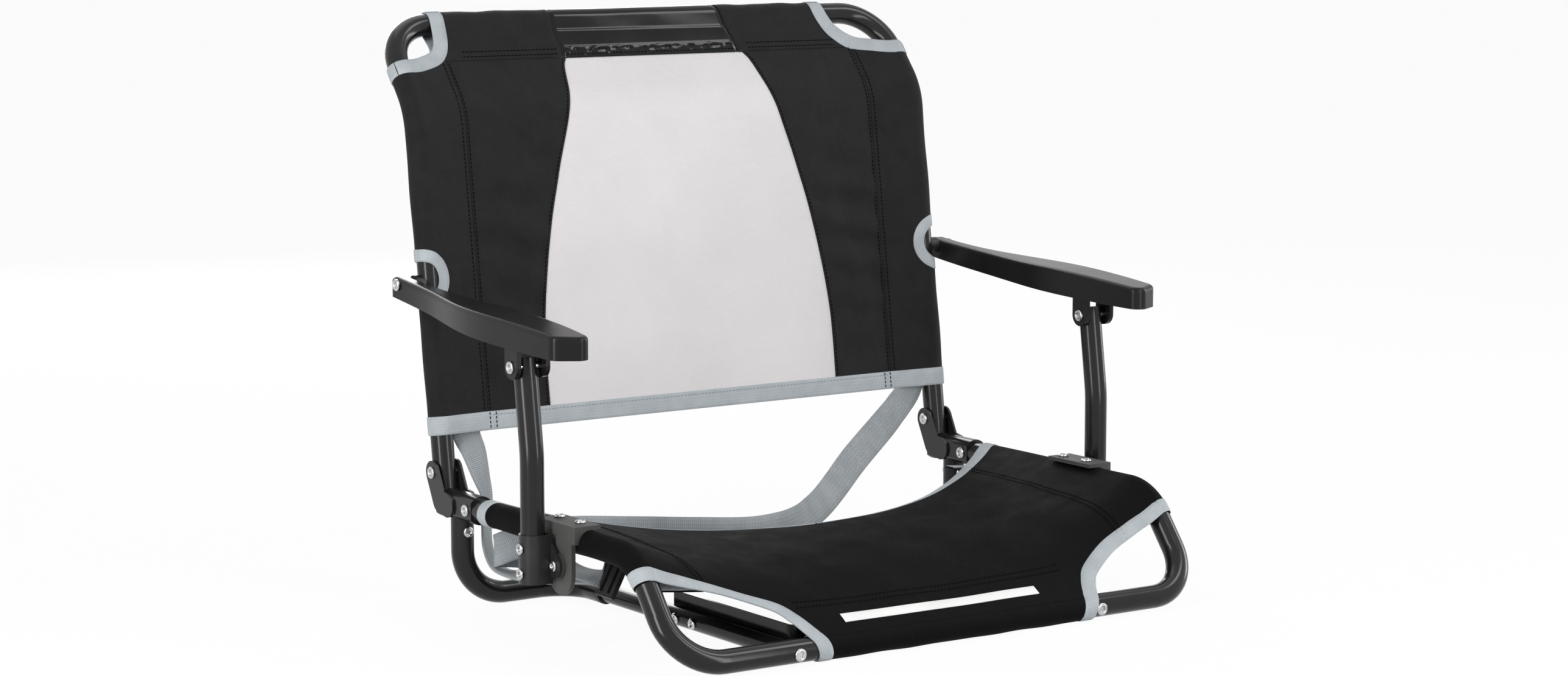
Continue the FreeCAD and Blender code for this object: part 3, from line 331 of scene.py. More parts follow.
backCover = {
    "recline": 7.8, "lean": 31.7, "bendStart": 282.96, "bendEnd": 316.16, "bendRadius": 60,
    "topRail": 386.1,  # distance up the upright to the top rail's axis
    "hem": 31.5, "hemTape": 14.5,
    "seamIn": 46, "seamDown": 39,  # sleeve seams, from the tube axes
    # edges of the corner openings as (out from the middle, up the back), from the upright to the top rail;
    # tables by side: 1 right, -1 left
    "corner": {1: [(268, 346), (262, 346), (250, 346), (239, 348.5), (228.5, 352), (217.5, 355.5), (208.5, 359.5),
                   (202, 364), (196.5, 369), (193, 375), (190, 382), (188.5, 388), (188.5, 393), (188.5, 398)],
               -1: [(268, 342.5), (262, 342.5), (254, 342.5), (243, 344.5), (233, 348.5), (224, 353), (218, 358),
                    (215.3, 364), (214.3, 372), (214, 380), (214, 387), (214, 393), (214, 398)]},
    "cornerTape": 12.5,
    "cornerStop": (262, 393),  # where the openings' front and rear tape ends, out and up
    "cornerTurn": 350,  # height past which an opening's edge belongs to the top sleeve
    "tuck": 3, "sideEndTop": 351, "topEndOut": 222,  # ends of the sleeves under the corner tape
    "notch": (264.6, 160, 15.5), "notchTape": 9.5,  # arm notch: out, up, radius
    # edge of the mesh and of the strip as (up the back, out from the middle)
    "meshEdge": [(32, 148), (110.3, 147), (184.6, 136), (242.6, 121.5), (280.5, 110), (310, 101.5),
                 (337.1, 96), (347.1, 91)],
    "stripEdge": {1: [(347, 87), (357, 85), (372, 79.5), (392, 76)],
                  -1: [(347, 94), (355, 94.5), (371, 98.5), (392, 97.5)]},
    "topLines": (31.3, 35.6), "sideLines": (206.3, 212.3),  # stitch rows: below the top rail, out
    # waves: height, wavelengths along the two directions, phase
    "sideWaves": [(0.7, 75, 160, 0.4), (0.5, -48, 95, 1.9), (0.4, 210, 41, 0.8)],
    # short level folds: height, wavelengths across and up, phase, then the band's middle and half height
    "folds": {1: (1.7, 240, 34, 0.6, 175, 75), -1: (1.1, -200, 41, 1.8, 200, 80)},
    "meshWaves": [(0.5, 190, 300, 0.3), (0.3, -120, 170, 1.2)],
    "sleeveWaves": {1: [(0.22, 60, 70, 1.2), (0.16, -35, 120, 1)],
                    -1: [(0.22, 60, 70, -0.8), (0.16, -35, 120, 1)]},
    "topWaves": [(0.3, 55, 80, 0.5), (0.2, -31, 60, 1.4)],
    # the mesh: how far it runs under the side panels, how deep it lies, how far it bellies out, thickness
    "meshUnder": 4, "meshDeep": 0.55, "meshBelly": 0.3, "meshThick": 0.6,
}


def backPoint(x, s, n):
    # s runs up the upright from the hinge axis, n is the height in front of the tube's plane:
    # a straight line, an arc of the bend radius, then a straight line that leans further back
    c = backCover
    x, s, n = np.broadcast_arrays(np.asarray(x, float), s, n)
    low, high, radius = radians(c["recline"]), radians(c["recline"] + c["lean"]), c["bendRadius"]
    angle = np.clip(low + (s - c["bendStart"]) / radius, low, high)
    before, after = np.minimum(s, c["bendStart"]), np.maximum(s - c["bendEnd"], 0)
    y = before * np.sin(low) + radius * (np.cos(low) - np.cos(angle)) + after * np.sin(high)
    z = before * np.cos(low) + radius * (np.sin(angle) - np.sin(low)) + after * np.cos(high)
    return np.stack([x, hinge[1] + y - n * np.cos(angle), hinge[2] + z + n * np.sin(angle)], -1)


def dropOutline(q, reach, lift=0.0):
    # cloth drawn round a tube to a seam: a line from the seam to the tube, an arc round it, a line back.
    # a is the distance from the tube's axis towards the seam, b the height in front
    touch = np.arccos(wrap / reach)
    line = np.sqrt(reach ** 2 - wrap ** 2)
    turn = wrap * (2 * pi - 2 * touch)
    angle = touch + np.clip(q - line, 0, turn) / wrap
    front, rear = np.clip(1 - q / line, 0, 1), np.clip((q - line - turn) / line, 0, 1)
    pull = np.maximum(front, rear)
    a = (wrap * np.cos(angle)) * (1 - pull) + reach * pull + lift * np.cos(angle)
    b = (wrap * np.sin(angle)) * (1 - pull) + lift * np.sin(angle)
    return a, b


def outlineLength(reach):
    return 2 * np.sqrt(reach ** 2 - wrap ** 2) + wrap * (2 * pi - 2 * np.arccos(wrap / reach))


sideLong = outlineLength(backCover["seamIn"])
topLong = outlineLength(backCover["seamDown"])
seamX = chair["span"] - backCover["seamIn"]
seamS = backCover["topRail"] - backCover["seamDown"]
halfRound = np.linspace(0, sideLong / 2, 400)
frontX = chair["span"] - dropOutline(halfRound, backCover["seamIn"])[0]


def sidePoint(side, q, s, lift):
    # on a side sleeve: q runs round it from seam to seam, s up the back
    a, b = dropOutline(q, backCover["seamIn"], lift)
    return backPoint(side * (chair["span"] - a), s, b)


def topPoint(x, q, lift):
    # on the top sleeve: q runs round it from seam to seam
    a, b = dropOutline(q, backCover["seamDown"], lift)
    return backPoint(x, backCover["topRail"] - a, b)


def meshEdge(s):
    edge = smoothPath(backCover["meshEdge"], 200)
    return np.interp(s, edge[:, 0], edge[:, 1])


cornerLines = {side: smoothPath(edge, 200) for side, edge in backCover["corner"].items()}


def dropFace(gap, reach):
    # height of the drop outline's front at a distance from the tube's axis towards the seam
    q = np.linspace(0, outlineLength(reach) / 2, 300)
    a, b = dropOutline(q, reach)
    return np.interp(gap, a[::-1], b[::-1])


def frontFace(x, s):
    # both sleeves together, smooth where they cross: height = (side^4 + top^4)^(1/4)
    c = backCover
    side = dropFace(np.minimum(chair["span"] - np.abs(x), c["seamIn"]), c["seamIn"])
    top = dropFace(np.minimum(c["topRail"] - s, c["seamDown"]), c["seamDown"])
    return (side ** 4 + top ** 4) ** 0.25


def sideEnd(side, q):
    # upper end of a side sleeve, a little inside the tape of the corner opening
    x = chair["span"] - dropOutline(q, backCover["seamIn"])[0]
    line = cornerLines[side][::-1]
    return np.minimum(np.interp(x, line[:, 0], line[:, 1]) - backCover["tuck"], backCover["sideEndTop"])


def topEnd(side, q):
    # outer end of the top sleeve on the same opening
    s = backCover["topRail"] - dropOutline(q, backCover["seamDown"])[0]
    line = cornerLines[side]
    late = line[:, 1] > backCover["cornerTurn"]
    return np.minimum(np.interp(s, line[late, 1], line[late, 0]) - backCover["tuck"], backCover["topEndOut"])


def stripEdge(side, q):
    # where a top sleeve ends beside the glossy strip
    s = backCover["topRail"] - dropOutline(q, backCover["seamDown"])[0]
    edge = np.array(backCover["stripEdge"][side])
    return np.interp(s, edge[:, 0], edge[:, 1])


def sideCover(side):
    # panel, three sleeve blocks round the arm notch, and the top sleeve beside the glossy strip
    c = backCover
    grids = []
    s = np.linspace(c["hem"], seamS, 120)[:, None]
    t = np.linspace(0, 1, 36)[None, :]
    x = meshEdge(s) + (seamX - meshEdge(s)) * t
    fade = np.sin(pi * t) * np.sin(pi * (s - c["hem"]) / (seamS - c["hem"]))
    high, alongX, alongS, phase, level, half = c["folds"][side]
    folds = ripple(x, s, [(high, alongX, alongS, phase)]) * np.exp(-((s - level) / half) ** 2)
    folds = folds * np.sin(pi * t) ** 0.5
    grids.append((backPoint(side * x, s, ripple(side * x, s, c["sideWaves"]) * fade + folds), pair(x, s)))

    def block(sRows, q):
        q = np.broadcast_to(q, np.broadcast_shapes(q.shape, sRows.shape))
        sRows = np.broadcast_to(sRows, q.shape)
        puff = ripple(q, sRows, c["sleeveWaves"][side]) * np.sin(pi * q / sideLong)
        grids.append((sidePoint(side, q, sRows, puff), pair(seamX + q, sRows)))

    nx, ns, nr = c["notch"]
    whole = np.linspace(0, sideLong, 65)[None, :]
    half = np.linspace(0, 1, 33)[None, :]
    turn = np.linspace(0, pi, 25)[:, None]
    sNotch = ns - nr * np.cos(turn)
    qNotch = np.interp(nx - nr * np.sin(turn), frontX, halfRound)
    block(np.linspace(c["hem"], ns - nr, 44)[:, None], whole)
    block(sNotch, qNotch * half)
    block(sNotch, sideLong - qNotch * (1 - half))
    rise = np.linspace(0, 1, 70)[:, None]
    block((ns + nr) + (sideEnd(side, whole) - ns - nr) * rise, whole)

    q = np.linspace(0, topLong, 61)[None, :]
    out = np.linspace(0, 1, 40)[:, None]
    x = stripEdge(side, q) + (topEnd(side, q) - stripEdge(side, q)) * out
    puff = ripple(x, q, c["topWaves"]) * np.sin(pi * q / topLong)
    uvStart = 400  # the top sleeve's place on the UV map, past the side panel
    grids.append((topPoint(side * x, q + 0 * x, puff), pair(x, uvStart + q)))
    name = "back_side_" + ("right" if side > 0 else "left")
    return meshPiece(name, grids, blackCloth, "back", thick=chair["clothThick"])


def meshCentre():
    # pale middle: between the two curved edges, its borders a few millimetres under the side panels
    c = backCover
    s = np.linspace(c["hem"], seamS + 1.0, 110)[:, None]
    t = np.linspace(-1, 1, 80)[None, :]
    x = (meshEdge(s) + c["meshUnder"]) * t
    fade = (1 - t ** 4) * np.sin(pi * np.clip((s - c["hem"]) / (seamS - c["hem"]), 0, 1)) ** 0.5
    n = -c["meshDeep"] + (ripple(x, s, c["meshWaves"]) + c["meshBelly"]) * fade
    return meshPiece("back_mesh_middle", [(backPoint(x, s, n), pair(x, s))], paleMesh, "back",
                     thick=c["meshThick"])


def ease(t):
    # 0 to 1 with level ends: 3t^2 - 2t^3
    t = np.clip(t, 0, 1)
    return t * t * (3 - 2 * t)


glossStrip = {
    "under": 6, "thick": 0.3,  # how far each end runs on under its sleeve, thickness
    # distances below the top rail's axis, in millimetres
    "fold": (0.5, 13.2, 0.004, 2.8, 16.2, 8),  # height, start, slant, rise, place where it fades, fade
    "ledge": (0.4, 28, 2.2, 40.5, 3),  # height, start, rise, end, fall
    "hem": (29.5, 2),  # start, rise
    "hemWaves": [(0.16, 23, 16, 0), (0.14, -13, 21, 1.3), (0.1, 7.9, 60, 2.2), (0.08, 57, 5, 0.5)],
    "broadWaves": [(0.1, 140, 75, 0.4), (0.08, -85, 52, 2)],
    "lift": 0.35, "leastLift": 0.1,
    "seams": (0.35, 6),  # share of the lift at the seams, distance over which it grows
    "ends": (5.5, 0.4, 11, 5),  # start of the lift, depth under the sleeves, its end, distance of change
}


def glossyStrip():
    # strip round the top rail: the drop outline with two level ledges and a crumpled hem
    g = glossStrip
    q = np.linspace(0, topLong, 170)[None, :]
    t = np.linspace(0, 1, 260)[:, None]
    wide = stripEdge(-1, q) + stripEdge(1, q) + 2 * g["under"]
    x = wide * t - stripEdge(-1, q) - g["under"]
    below = dropOutline(q, backCover["seamDown"])[0]
    high, start, slant, rise, past, fade = g["fold"]
    fold = high * ease((below - start - slant * x) / rise) * np.exp(-np.maximum(below - past, 0) / fade)
    high, start, rise, end, fall = g["ledge"]
    ledge = high * ease((below - start) / rise) * ease((end - below) / fall)
    start, rise = g["hem"]
    crumple = ripple(x, below, g["hemWaves"]) * ease((below - start) / rise)
    broad = ripple(x, below, g["broadWaves"]) * np.sin(pi * q / topLong)
    lift = g["lift"] + fold + ledge + crumple + broad
    least, over = g["seams"]
    lift = lift * np.minimum(1, least + q / over) * np.minimum(1, least + (topLong - q) / over)
    edge = wide * np.minimum(t, 1 - t)
    start, sink, end, over = g["ends"]
    lift = np.maximum(lift, g["leastLift"]) * ease((edge - start) / over) - sink * ease((end - edge) / over)
    return meshPiece("top_gloss_strip", [(topPoint(x, q + 0 * x, lift), pair(x, q))], blackVinyl, "back",
                     thick=g["thick"])


def bandGrid(place, path, section, run):
    # a flat tape: a closed section (across, lift) carried along a path; place turns them into points
    across, lift = section[None, :, 0], section[None, :, 1]
    return place(path[:, None], across, lift), pair(run[:, None], runLength(section)[None, :])


def tapeSection(width, inner, lap):
    # folded tape over an edge at 0: outside, round the edge, inside; lap is how far it passes the edge
    t = chair["tapeThick"]
    top, low = chair["clothThick"] / 2 + t, -chair["clothThick"] / 2 - inner
    outside = [(width, top - t), (width - 0.25, top), (width * 0.6, top + 0.05), (0.8, top)]
    bend = [(-lap * 0.7, top * 0.75), (-lap, 0.0), (-lap * 0.7, low * 0.75)]
    inside = [(0.8, low), (width * 0.6, low - 0.05), (width - 0.25, low), (width, low + inner)]
    return np.array(outside + bend + inside + outside[:1])


def backTapes():
    c = backCover
    grids = []
    hemCut = tapeSection(c["hemTape"], inner=0.55, lap=1.2)
    # hem across the middle, then round both sleeves
    x = np.linspace(-seamX, seamX, 130)
    grids.append(bandGrid(lambda u, v, lift: backPoint(u, c["hem"] + v, lift), x, hemCut, x))
    ring = np.linspace(0, sideLong, 60)
    for side in (-1, 1):
        grids.append(bandGrid(lambda u, v, lift: sidePoint(side, u, c["hem"] + v, lift), ring, hemCut, ring))
    # corner openings, in four runs: the front, over the top rail, the rear, round the upright
    cornerCut = tapeSection(c["cornerTape"], inner=0.55, lap=0.9)
    for side in (-1, 1):
        line = cornerLines[side]
        line = line[(line[:, 0] <= c["cornerStop"][0]) & (line[:, 1] <= c["cornerStop"][1])]
        way = unit(np.gradient(line, axis=0))
        run = runLength(line)
        for face in (1, -1):
            def openFace(i, v, lift):
                i = i.astype(int)
                x, up = line[i, 0] - v * way[i, 1], line[i, 1] + v * way[i, 0]
                return backPoint(side * x, up, face * (frontFace(x, up) + lift))
            grids.append(bandGrid(openFace, np.arange(len(line)), cornerCut, run))
        gap = chair["span"] - line[0, 0]
        start = np.interp(-gap, -dropOutline(halfRound, c["seamIn"])[0], halfRound)
        ring = np.linspace(start, sideLong - start, 30)
        grids.append(bandGrid(lambda u, v, lift: sidePoint(side, u, line[0, 1] - v, lift), ring, cornerCut, ring))
        halfTop = np.linspace(0, topLong / 2, 400)
        start = np.interp(line[-1, 1] - c["topRail"], -dropOutline(halfTop, c["seamDown"])[0], halfTop)
        ring = np.linspace(start, topLong - start, 30)
        last = line[-1, 0]
        grids.append(bandGrid(lambda u, v, lift: topPoint(side * (last - v), u, lift), ring, cornerCut, ring))
    # arm notches: half rings in front and behind
    nx, ns, nr = c["notch"]
    turn = np.linspace(-pi / 2, pi / 2, 40)
    notchCut = tapeSection(c["notchTape"], inner=0.5, lap=0.9)
    for side in (-1, 1):
        for rear in (False, True):
            def notchRing(u, v, lift):
                reach = nr + v
                q = np.interp(nx - reach * np.cos(u), frontX, halfRound)
                return sidePoint(side, sideLong - q if rear else q, ns + reach * np.sin(u), lift)
            grids.append(bandGrid(notchRing, turn, notchCut, turn * (nr + 6)))
    return meshPiece("back_edge_tape", grids, greyTape, "back")


rightSide, leftSide = sideCover(1), sideCover(-1)
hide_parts("back_panel_right")
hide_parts("back_panel_left")
centre = meshCentre()
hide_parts("back_mesh")
strip = glossyStrip()
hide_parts("top_strip")
backTape = backTapes()
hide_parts("back_binding")
print("back cover made")

# seat cover

seatCover = {
    "railZ": 86, "dropStart": 273.7, "dropRadius": 50, "dropTurn": 52,
    "frontAxis": (357, 10.6), "frontTouch": (362.6, 19.1),
    "middleZ": 68, "rear": 72, "rearMiddle": 165, "rearBow": 93,
    "rearDip": (7, 18),  # how far the rear edge rolls down, and over what depth
    "edgeLean": 15.5, "sleeveUnder": 12.8,  # angles where the side sleeve touches and leaves its rail
    "frontSeam": 334, "seamBelow": 1,
    "frontLeave": 244.1, "frontLine": 31.7,  # where the front sleeve leaves its rail, length of its line back
    "lineLift": (0.4, 0.6),  # back and down shares of a lift on that line
    "benchGap": 0.4,
    # bound front edge as (out from the middle, run forwards):
    # round the side rail, over the panel, round the front rail
    "cut": {1: [(330, 320), (300, 320), (275, 320), (260, 320.6), (250, 321.6), (238, 323), (219, 324.8),
                (190, 330.3), (164, 342), (154, 351.5), (147.5, 362.6), (143.5, 374), (142, 388), (142, 410),
                (142, 440)],
            -1: [(330, 320), (300, 320), (275, 320), (260, 320.6), (251, 321.4), (241, 321.6), (222, 321.2),
                 (197, 322), (175, 326.5), (153, 335), (143.5, 345), (137, 357), (132.5, 368), (129.5, 379),
                 (128.5, 392), (128.5, 410), (128.5, 440)]},
    "cutTurn": 340,  # run past which that edge belongs to the front sleeve
    "rearCorner": [(245, 78.5), (258, 74.5), (272, 73), (290, 72.6), (330, 72.6)],
    "rolled": {1: 0, -1: 0.42},  # share of the front tape that is rolled under in its middle
    "roll": (180, 38, 300),  # that middle, its half width, and the run past which it counts
    "waves": [(0.5, 130, 210, 0.3), (0.35, -82, 120, 1.1), (0.25, 300, 48, 2)],
    "sideWaves": {1: [(0.2, 60, 75, 1), (0.15, -33, 110, 0.5)],
                  -1: [(0.2, 60, 75, -1), (0.15, -33, 110, 0.5)]},
    "frontWaves": [(0.2, 70, 40, 0.7), (0.15, -45, 55, 1.7)],
}
lean = radians(seatCover["edgeLean"])
touchX = chair["span"] - wrap * np.sin(lean)
touchUp = wrap * np.cos(lean)
touchFwd = seatCover["frontTouch"][0]


def seatPoint(x, fwd, z):
    # fwd runs forwards from the hinge axis
    x, fwd, z = np.broadcast_arrays(np.asarray(x, float), fwd, z)
    return np.stack([x, hinge[1] - fwd, z], -1)


def railAt(fwd):
    # side rail below the cloth's line of touch: level, then an arc down, then a slope;
    # gives the turn and the axis's fwd and z
    c = seatCover
    full = radians(c["dropTurn"])
    turn = np.arcsin(np.clip((fwd - c["dropStart"]) / (c["dropRadius"] + touchUp), 0, np.sin(full)))
    rest = np.maximum(fwd - c["dropStart"] - (c["dropRadius"] + touchUp) * np.sin(full), 0)
    axisFwd = np.where(fwd < c["dropStart"], fwd, c["dropStart"] + c["dropRadius"] * np.sin(turn) + rest)
    axisZ = c["railZ"] - c["dropRadius"] * (1 - np.cos(turn)) - rest * np.tan(full)
    return turn, axisFwd, axisZ


def seatZ(x, fwd):
    # sagging cloth: a cubic curve up to each rail, flattened towards the front rail,
    # and a parabola down at the rear edge
    c = seatCover
    depth = np.clip((fwd - c["rear"]) / (touchFwd - c["rear"]), 0, 1)
    middle = c["middleZ"] - (c["middleZ"] - c["frontTouch"][1]) * depth ** 4
    turn, _, axisZ = railAt(fwd)
    edge = axisZ + touchUp * np.cos(turn)
    turnEnd = c["dropStart"] + (c["dropRadius"] + touchUp) * np.sin(radians(c["dropTurn"]))
    past = np.clip((fwd - turnEnd) / (touchFwd - turnEnd), 0, 1)
    deep, over = c["rearDip"]
    gap = fwd - c["rearMiddle"] + c["rearBow"] * (x / chair["span"]) ** 2
    dip = deep * np.maximum(1 - (x / touchX) ** 2, 0) * np.clip(1 - gap / over, 0, 1.2) ** 2
    return middle + (edge - middle) * (1 - past ** 2) * np.abs(x / touchX) ** 3 - dip


def panelPoint(x, fwd, lift):
    # the panel, raised by lift along its own normal
    tilt = seatZ(x + 0.5, fwd) - seatZ(x - 0.5, fwd)
    slope = seatZ(x, fwd + 0.5) - seatZ(x, fwd - 0.5)
    size = np.sqrt(1 + tilt ** 2 + slope ** 2)
    return seatPoint(x - lift * tilt / size, fwd - lift * slope / size, seatZ(x, fwd) + lift / size)


sleeveStart, sleeveEnd = -lean, pi + radians(seatCover["sleeveUnder"])
underLine = np.sqrt(backCover["seamIn"] ** 2 - wrap ** 2)
sleeveStop = sleeveEnd + underLine / wrap
frontStart = np.arctan2(touchFwd - seatCover["frontAxis"][0],
                        seatCover["frontTouch"][1] - seatCover["frontAxis"][1])


def sleevePoint(turnRound, fwd, lift):
    # turnRound is the angle round the side rail from its top, outwards;
    # past sleeveEnd the cloth runs on to the seam below
    radius = wrap + lift
    bend, axisFwd, axisZ = railAt(fwd)
    angle = np.minimum(turnRound, sleeveEnd)
    pull = np.clip((turnRound - sleeveEnd) * wrap / underLine, 0, 1)
    out, up = radius * np.sin(angle), radius * np.cos(angle)
    tube = seatPoint(chair["span"] + out, axisFwd + up * np.sin(bend), axisZ + up * np.cos(bend))
    seam = seatPoint(seamX, fwd, seatZ(seamX, fwd) - seatCover["seamBelow"] - lift)
    return tube * (1 - pull[..., None]) + seam * pull[..., None]


def frontPoint(x, turnRound, lift):
    # sleeve round the front rail: angle from the top, forwards, then a line back up to the seam under the seat
    c = seatCover
    seamUp = seatZ(0.0, c["frontSeam"]) - c["seamBelow"] - c["frontAxis"][1]
    seamBack = c["frontSeam"] - c["frontAxis"][0]
    away = np.hypot(seamBack, seamUp)
    last = 2 * pi + np.arctan2(seamBack, seamUp) - np.arccos(wrap / away)
    line = np.sqrt(away ** 2 - wrap ** 2)
    angle = np.minimum(turnRound, last)
    pull = np.clip((turnRound - last) * wrap / line, 0, 1)
    radius = wrap + lift
    liftBack, liftDown = c["lineLift"]
    fwd = c["frontAxis"][0] + radius * np.sin(angle) * (1 - pull) + (seamBack - lift * liftBack) * pull
    z = c["frontAxis"][1] + radius * np.cos(angle) * (1 - pull) + (seamUp - lift * liftDown) * pull
    return seatPoint(x, fwd, np.maximum(z, c["benchGap"]))


frontStop = radians(seatCover["frontLeave"]) + seatCover["frontLine"] / wrap
frontLast = touchFwd + wrap * (frontStop - frontStart)
sideLast = touchX + wrap * (sleeveStop - sleeveStart)


def coverPoint(side, out, run, lift=0.0):
    # the whole cloth laid out flat: out from the middle and over the side rail,
    # run forwards and over the front rail
    out, run, lift = np.broadcast_arrays(np.asarray(out, float), run, lift)
    panel = panelPoint(np.minimum(out, touchX), np.minimum(run, touchFwd), lift)
    sleeve = sleevePoint(sleeveStart + (out - touchX) / wrap, run, lift)
    front = frontPoint(out, frontStart + (run - touchFwd) / wrap, lift)
    points = np.where((out > touchX)[..., None], sleeve, np.where((run > touchFwd)[..., None], front, panel))
    return points * np.array([side, 1, 1])


cutLines = {side: smoothPath(edge, 400) for side, edge in seatCover["cut"].items()}


def frontEdge(side, x):
    # run at which the panel ends
    line = cutLines[side][::-1]
    return np.minimum(np.interp(x, line[:, 0], line[:, 1]), touchFwd)


def frontHalf(side, run):
    # half width of the front sleeve
    line = cutLines[side]
    ahead = line[:, 1] > seatCover["cutTurn"]
    return np.interp(run, line[ahead, 1], line[ahead, 0])


rearLine = smoothPath([(w, seatCover["rearMiddle"] - seatCover["rearBow"] * (w / chair["span"]) ** 2)
                       for w in (0, 30, 60, 90, 120, 150, 180, 206, 228)]
                      + seatCover["rearCorner"], 400)


def rearEdge(x):
    return np.interp(x, rearLine[:, 0], rearLine[:, 1])


def seatLift(x, fwd):
    # slow waves of the panel, none at its edges
    out = np.abs(x)
    front = np.where(x < 0, frontEdge(-1, out), frontEdge(1, out))
    share = np.clip((fwd - rearEdge(out)) / (front - rearEdge(out)), 0, 1)
    return ripple(x, fwd, seatCover["waves"]) * (1 - np.minimum(out / touchX, 1) ** 6) * np.sin(pi * share) ** 0.6


def seatSheet():
    # one cloth: the sagging panel, a sleeve round each side rail and one round the front rail
    hair = 1e-6  # puts a sleeve's first row just past the panel's last
    grids = []
    v = np.linspace(0, 1, 120)[:, None]
    t = np.linspace(0, 1, 81)[None, :]
    for side in (-1, 1):
        # columns crowd towards the rail, where the cloth curves most
        x = touchX * (0.7 * t + 0.3 * np.sin(pi * t / 2))
        run = rearEdge(x) + (frontEdge(side, x) - rearEdge(x)) * v
        grids.append((coverPoint(side, x, run, seatLift(side * x, run)), pair(side * x, run)))
        run = rearEdge(touchX) + (frontEdge(side, touchX) - rearEdge(touchX)) * v
        out = np.linspace(touchX + hair, sideLast, 70)[None, :]
        puff = ripple(out, run, seatCover["sideWaves"][side])
        puff = puff * np.sin(pi * (out - touchX) / (sideLast - touchX))
        grids.append((coverPoint(side, out, run, puff), pair(out, run)))
        run = np.linspace(touchFwd + hair, frontLast, 60)[:, None]
        out = frontHalf(side, run) * np.linspace(0, 1, 46)[None, :]
        puff = ripple(side * out, run, seatCover["frontWaves"])
        puff = puff * np.sin(pi * (run - touchFwd) / (frontLast - touchFwd))
        grids.append((coverPoint(side, out, run, puff), pair(side * out, run)))
    # the seat's cloth carries painted shade: a darker copy of the black cloth
    return meshPiece("seat_sheet", grids, seatClothPaintedShade, "seat", thick=chair["clothThick"], weld=0.05)


def edgeBand(side, line, section):
    # tape along an edge line of the laid-out cloth; across goes square to the line on the cloth itself:
    # inward = normal x line, brought back to (out, run) steps through the cloth's own two directions
    out, run = line[:, 0], line[:, 1]
    step = 0.2
    alongOut = (coverPoint(1, out + step, run) - coverPoint(1, out - step, run)) / (2 * step)
    alongRun = (coverPoint(1, out, run + step) - coverPoint(1, out, run - step)) / (2 * step)
    way = np.gradient(line, axis=0)
    path = way[:, :1] * alongOut + way[:, 1:] * alongRun
    inward = unit(np.cross(np.cross(alongOut, alongRun), path))
    oo, rr, mixed = (alongOut ** 2).sum(1), (alongRun ** 2).sum(1), (alongOut * alongRun).sum(1)
    io, ir = (inward * alongOut).sum(1), (inward * alongRun).sum(1)
    scale = oo * rr - mixed ** 2
    stepOut, stepRun = (io * rr - ir * mixed) / scale, (ir * oo - io * mixed) / scale
    middle, half, past = seatCover["roll"]
    rolled = seatCover["rolled"][side] * np.exp(-((out - middle) / half) ** 2) * (run > past)
    across, lift = section[None, :, 0] * (1 - rolled[:, None]), section[None, :, 1]
    points = coverPoint(side, out[:, None] + across * stepOut[:, None],
                        run[:, None] + across * stepRun[:, None], lift)
    length = runLength(coverPoint(1, out, run))
    return points, pair(length[:, None], runLength(section)[None, :])


def seatTapes():
    # one tape each side along the front cut, round both rails, and one along the rear edge
    section = tapeSection(chair["tapeWide"], inner=0.55, lap=0.9)
    grids = []
    for side in (-1, 1):
        line = cutLines[side]
        line = line[(line[:, 0] <= sideLast) & (line[:, 1] <= frontLast)]
        grids.append(edgeBand(side, line, section))
        line = rearLine[rearLine[:, 0] <= sideLast]
        grids.append(edgeBand(side, line, section))
    return meshPiece("seat_edge_tape", grids, greyTape, "seat")


blankLabel = {"fwd": 344.5, "ends": (-97.0, 95.0), "wide": 8.0, "low": 0.35, "edge": 0.75, "top": 0.95,
              "round": 0.3}


def blankStrip():
    # plain white strip sewn on the seat's front: a thin slab that follows the cloth
    b = blankLabel
    wide, low, edge, top, bevel = b["wide"], b["low"], b["edge"], b["top"], b["round"]
    section = np.array([(0, low), (0, edge), (bevel, top), (wide - bevel, top), (wide, edge), (wide, low),
                        (0, low)])
    x = np.linspace(*b["ends"], 70)

    def onSeat(u, v, lift):
        return panelPoint(u, b["fwd"] + v, lift + seatLift(u, b["fwd"] + v))

    return meshPiece("seat_blank_strip", [bandGrid(onSeat, x, section, x)], whiteStrip, "seat")


seat = seatSheet()
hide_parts("seat_cover")
seatTape = seatTapes()
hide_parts("seat_binding")
blank = blankStrip()
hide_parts("seat_label")
print("seat cover made")

# carry strap

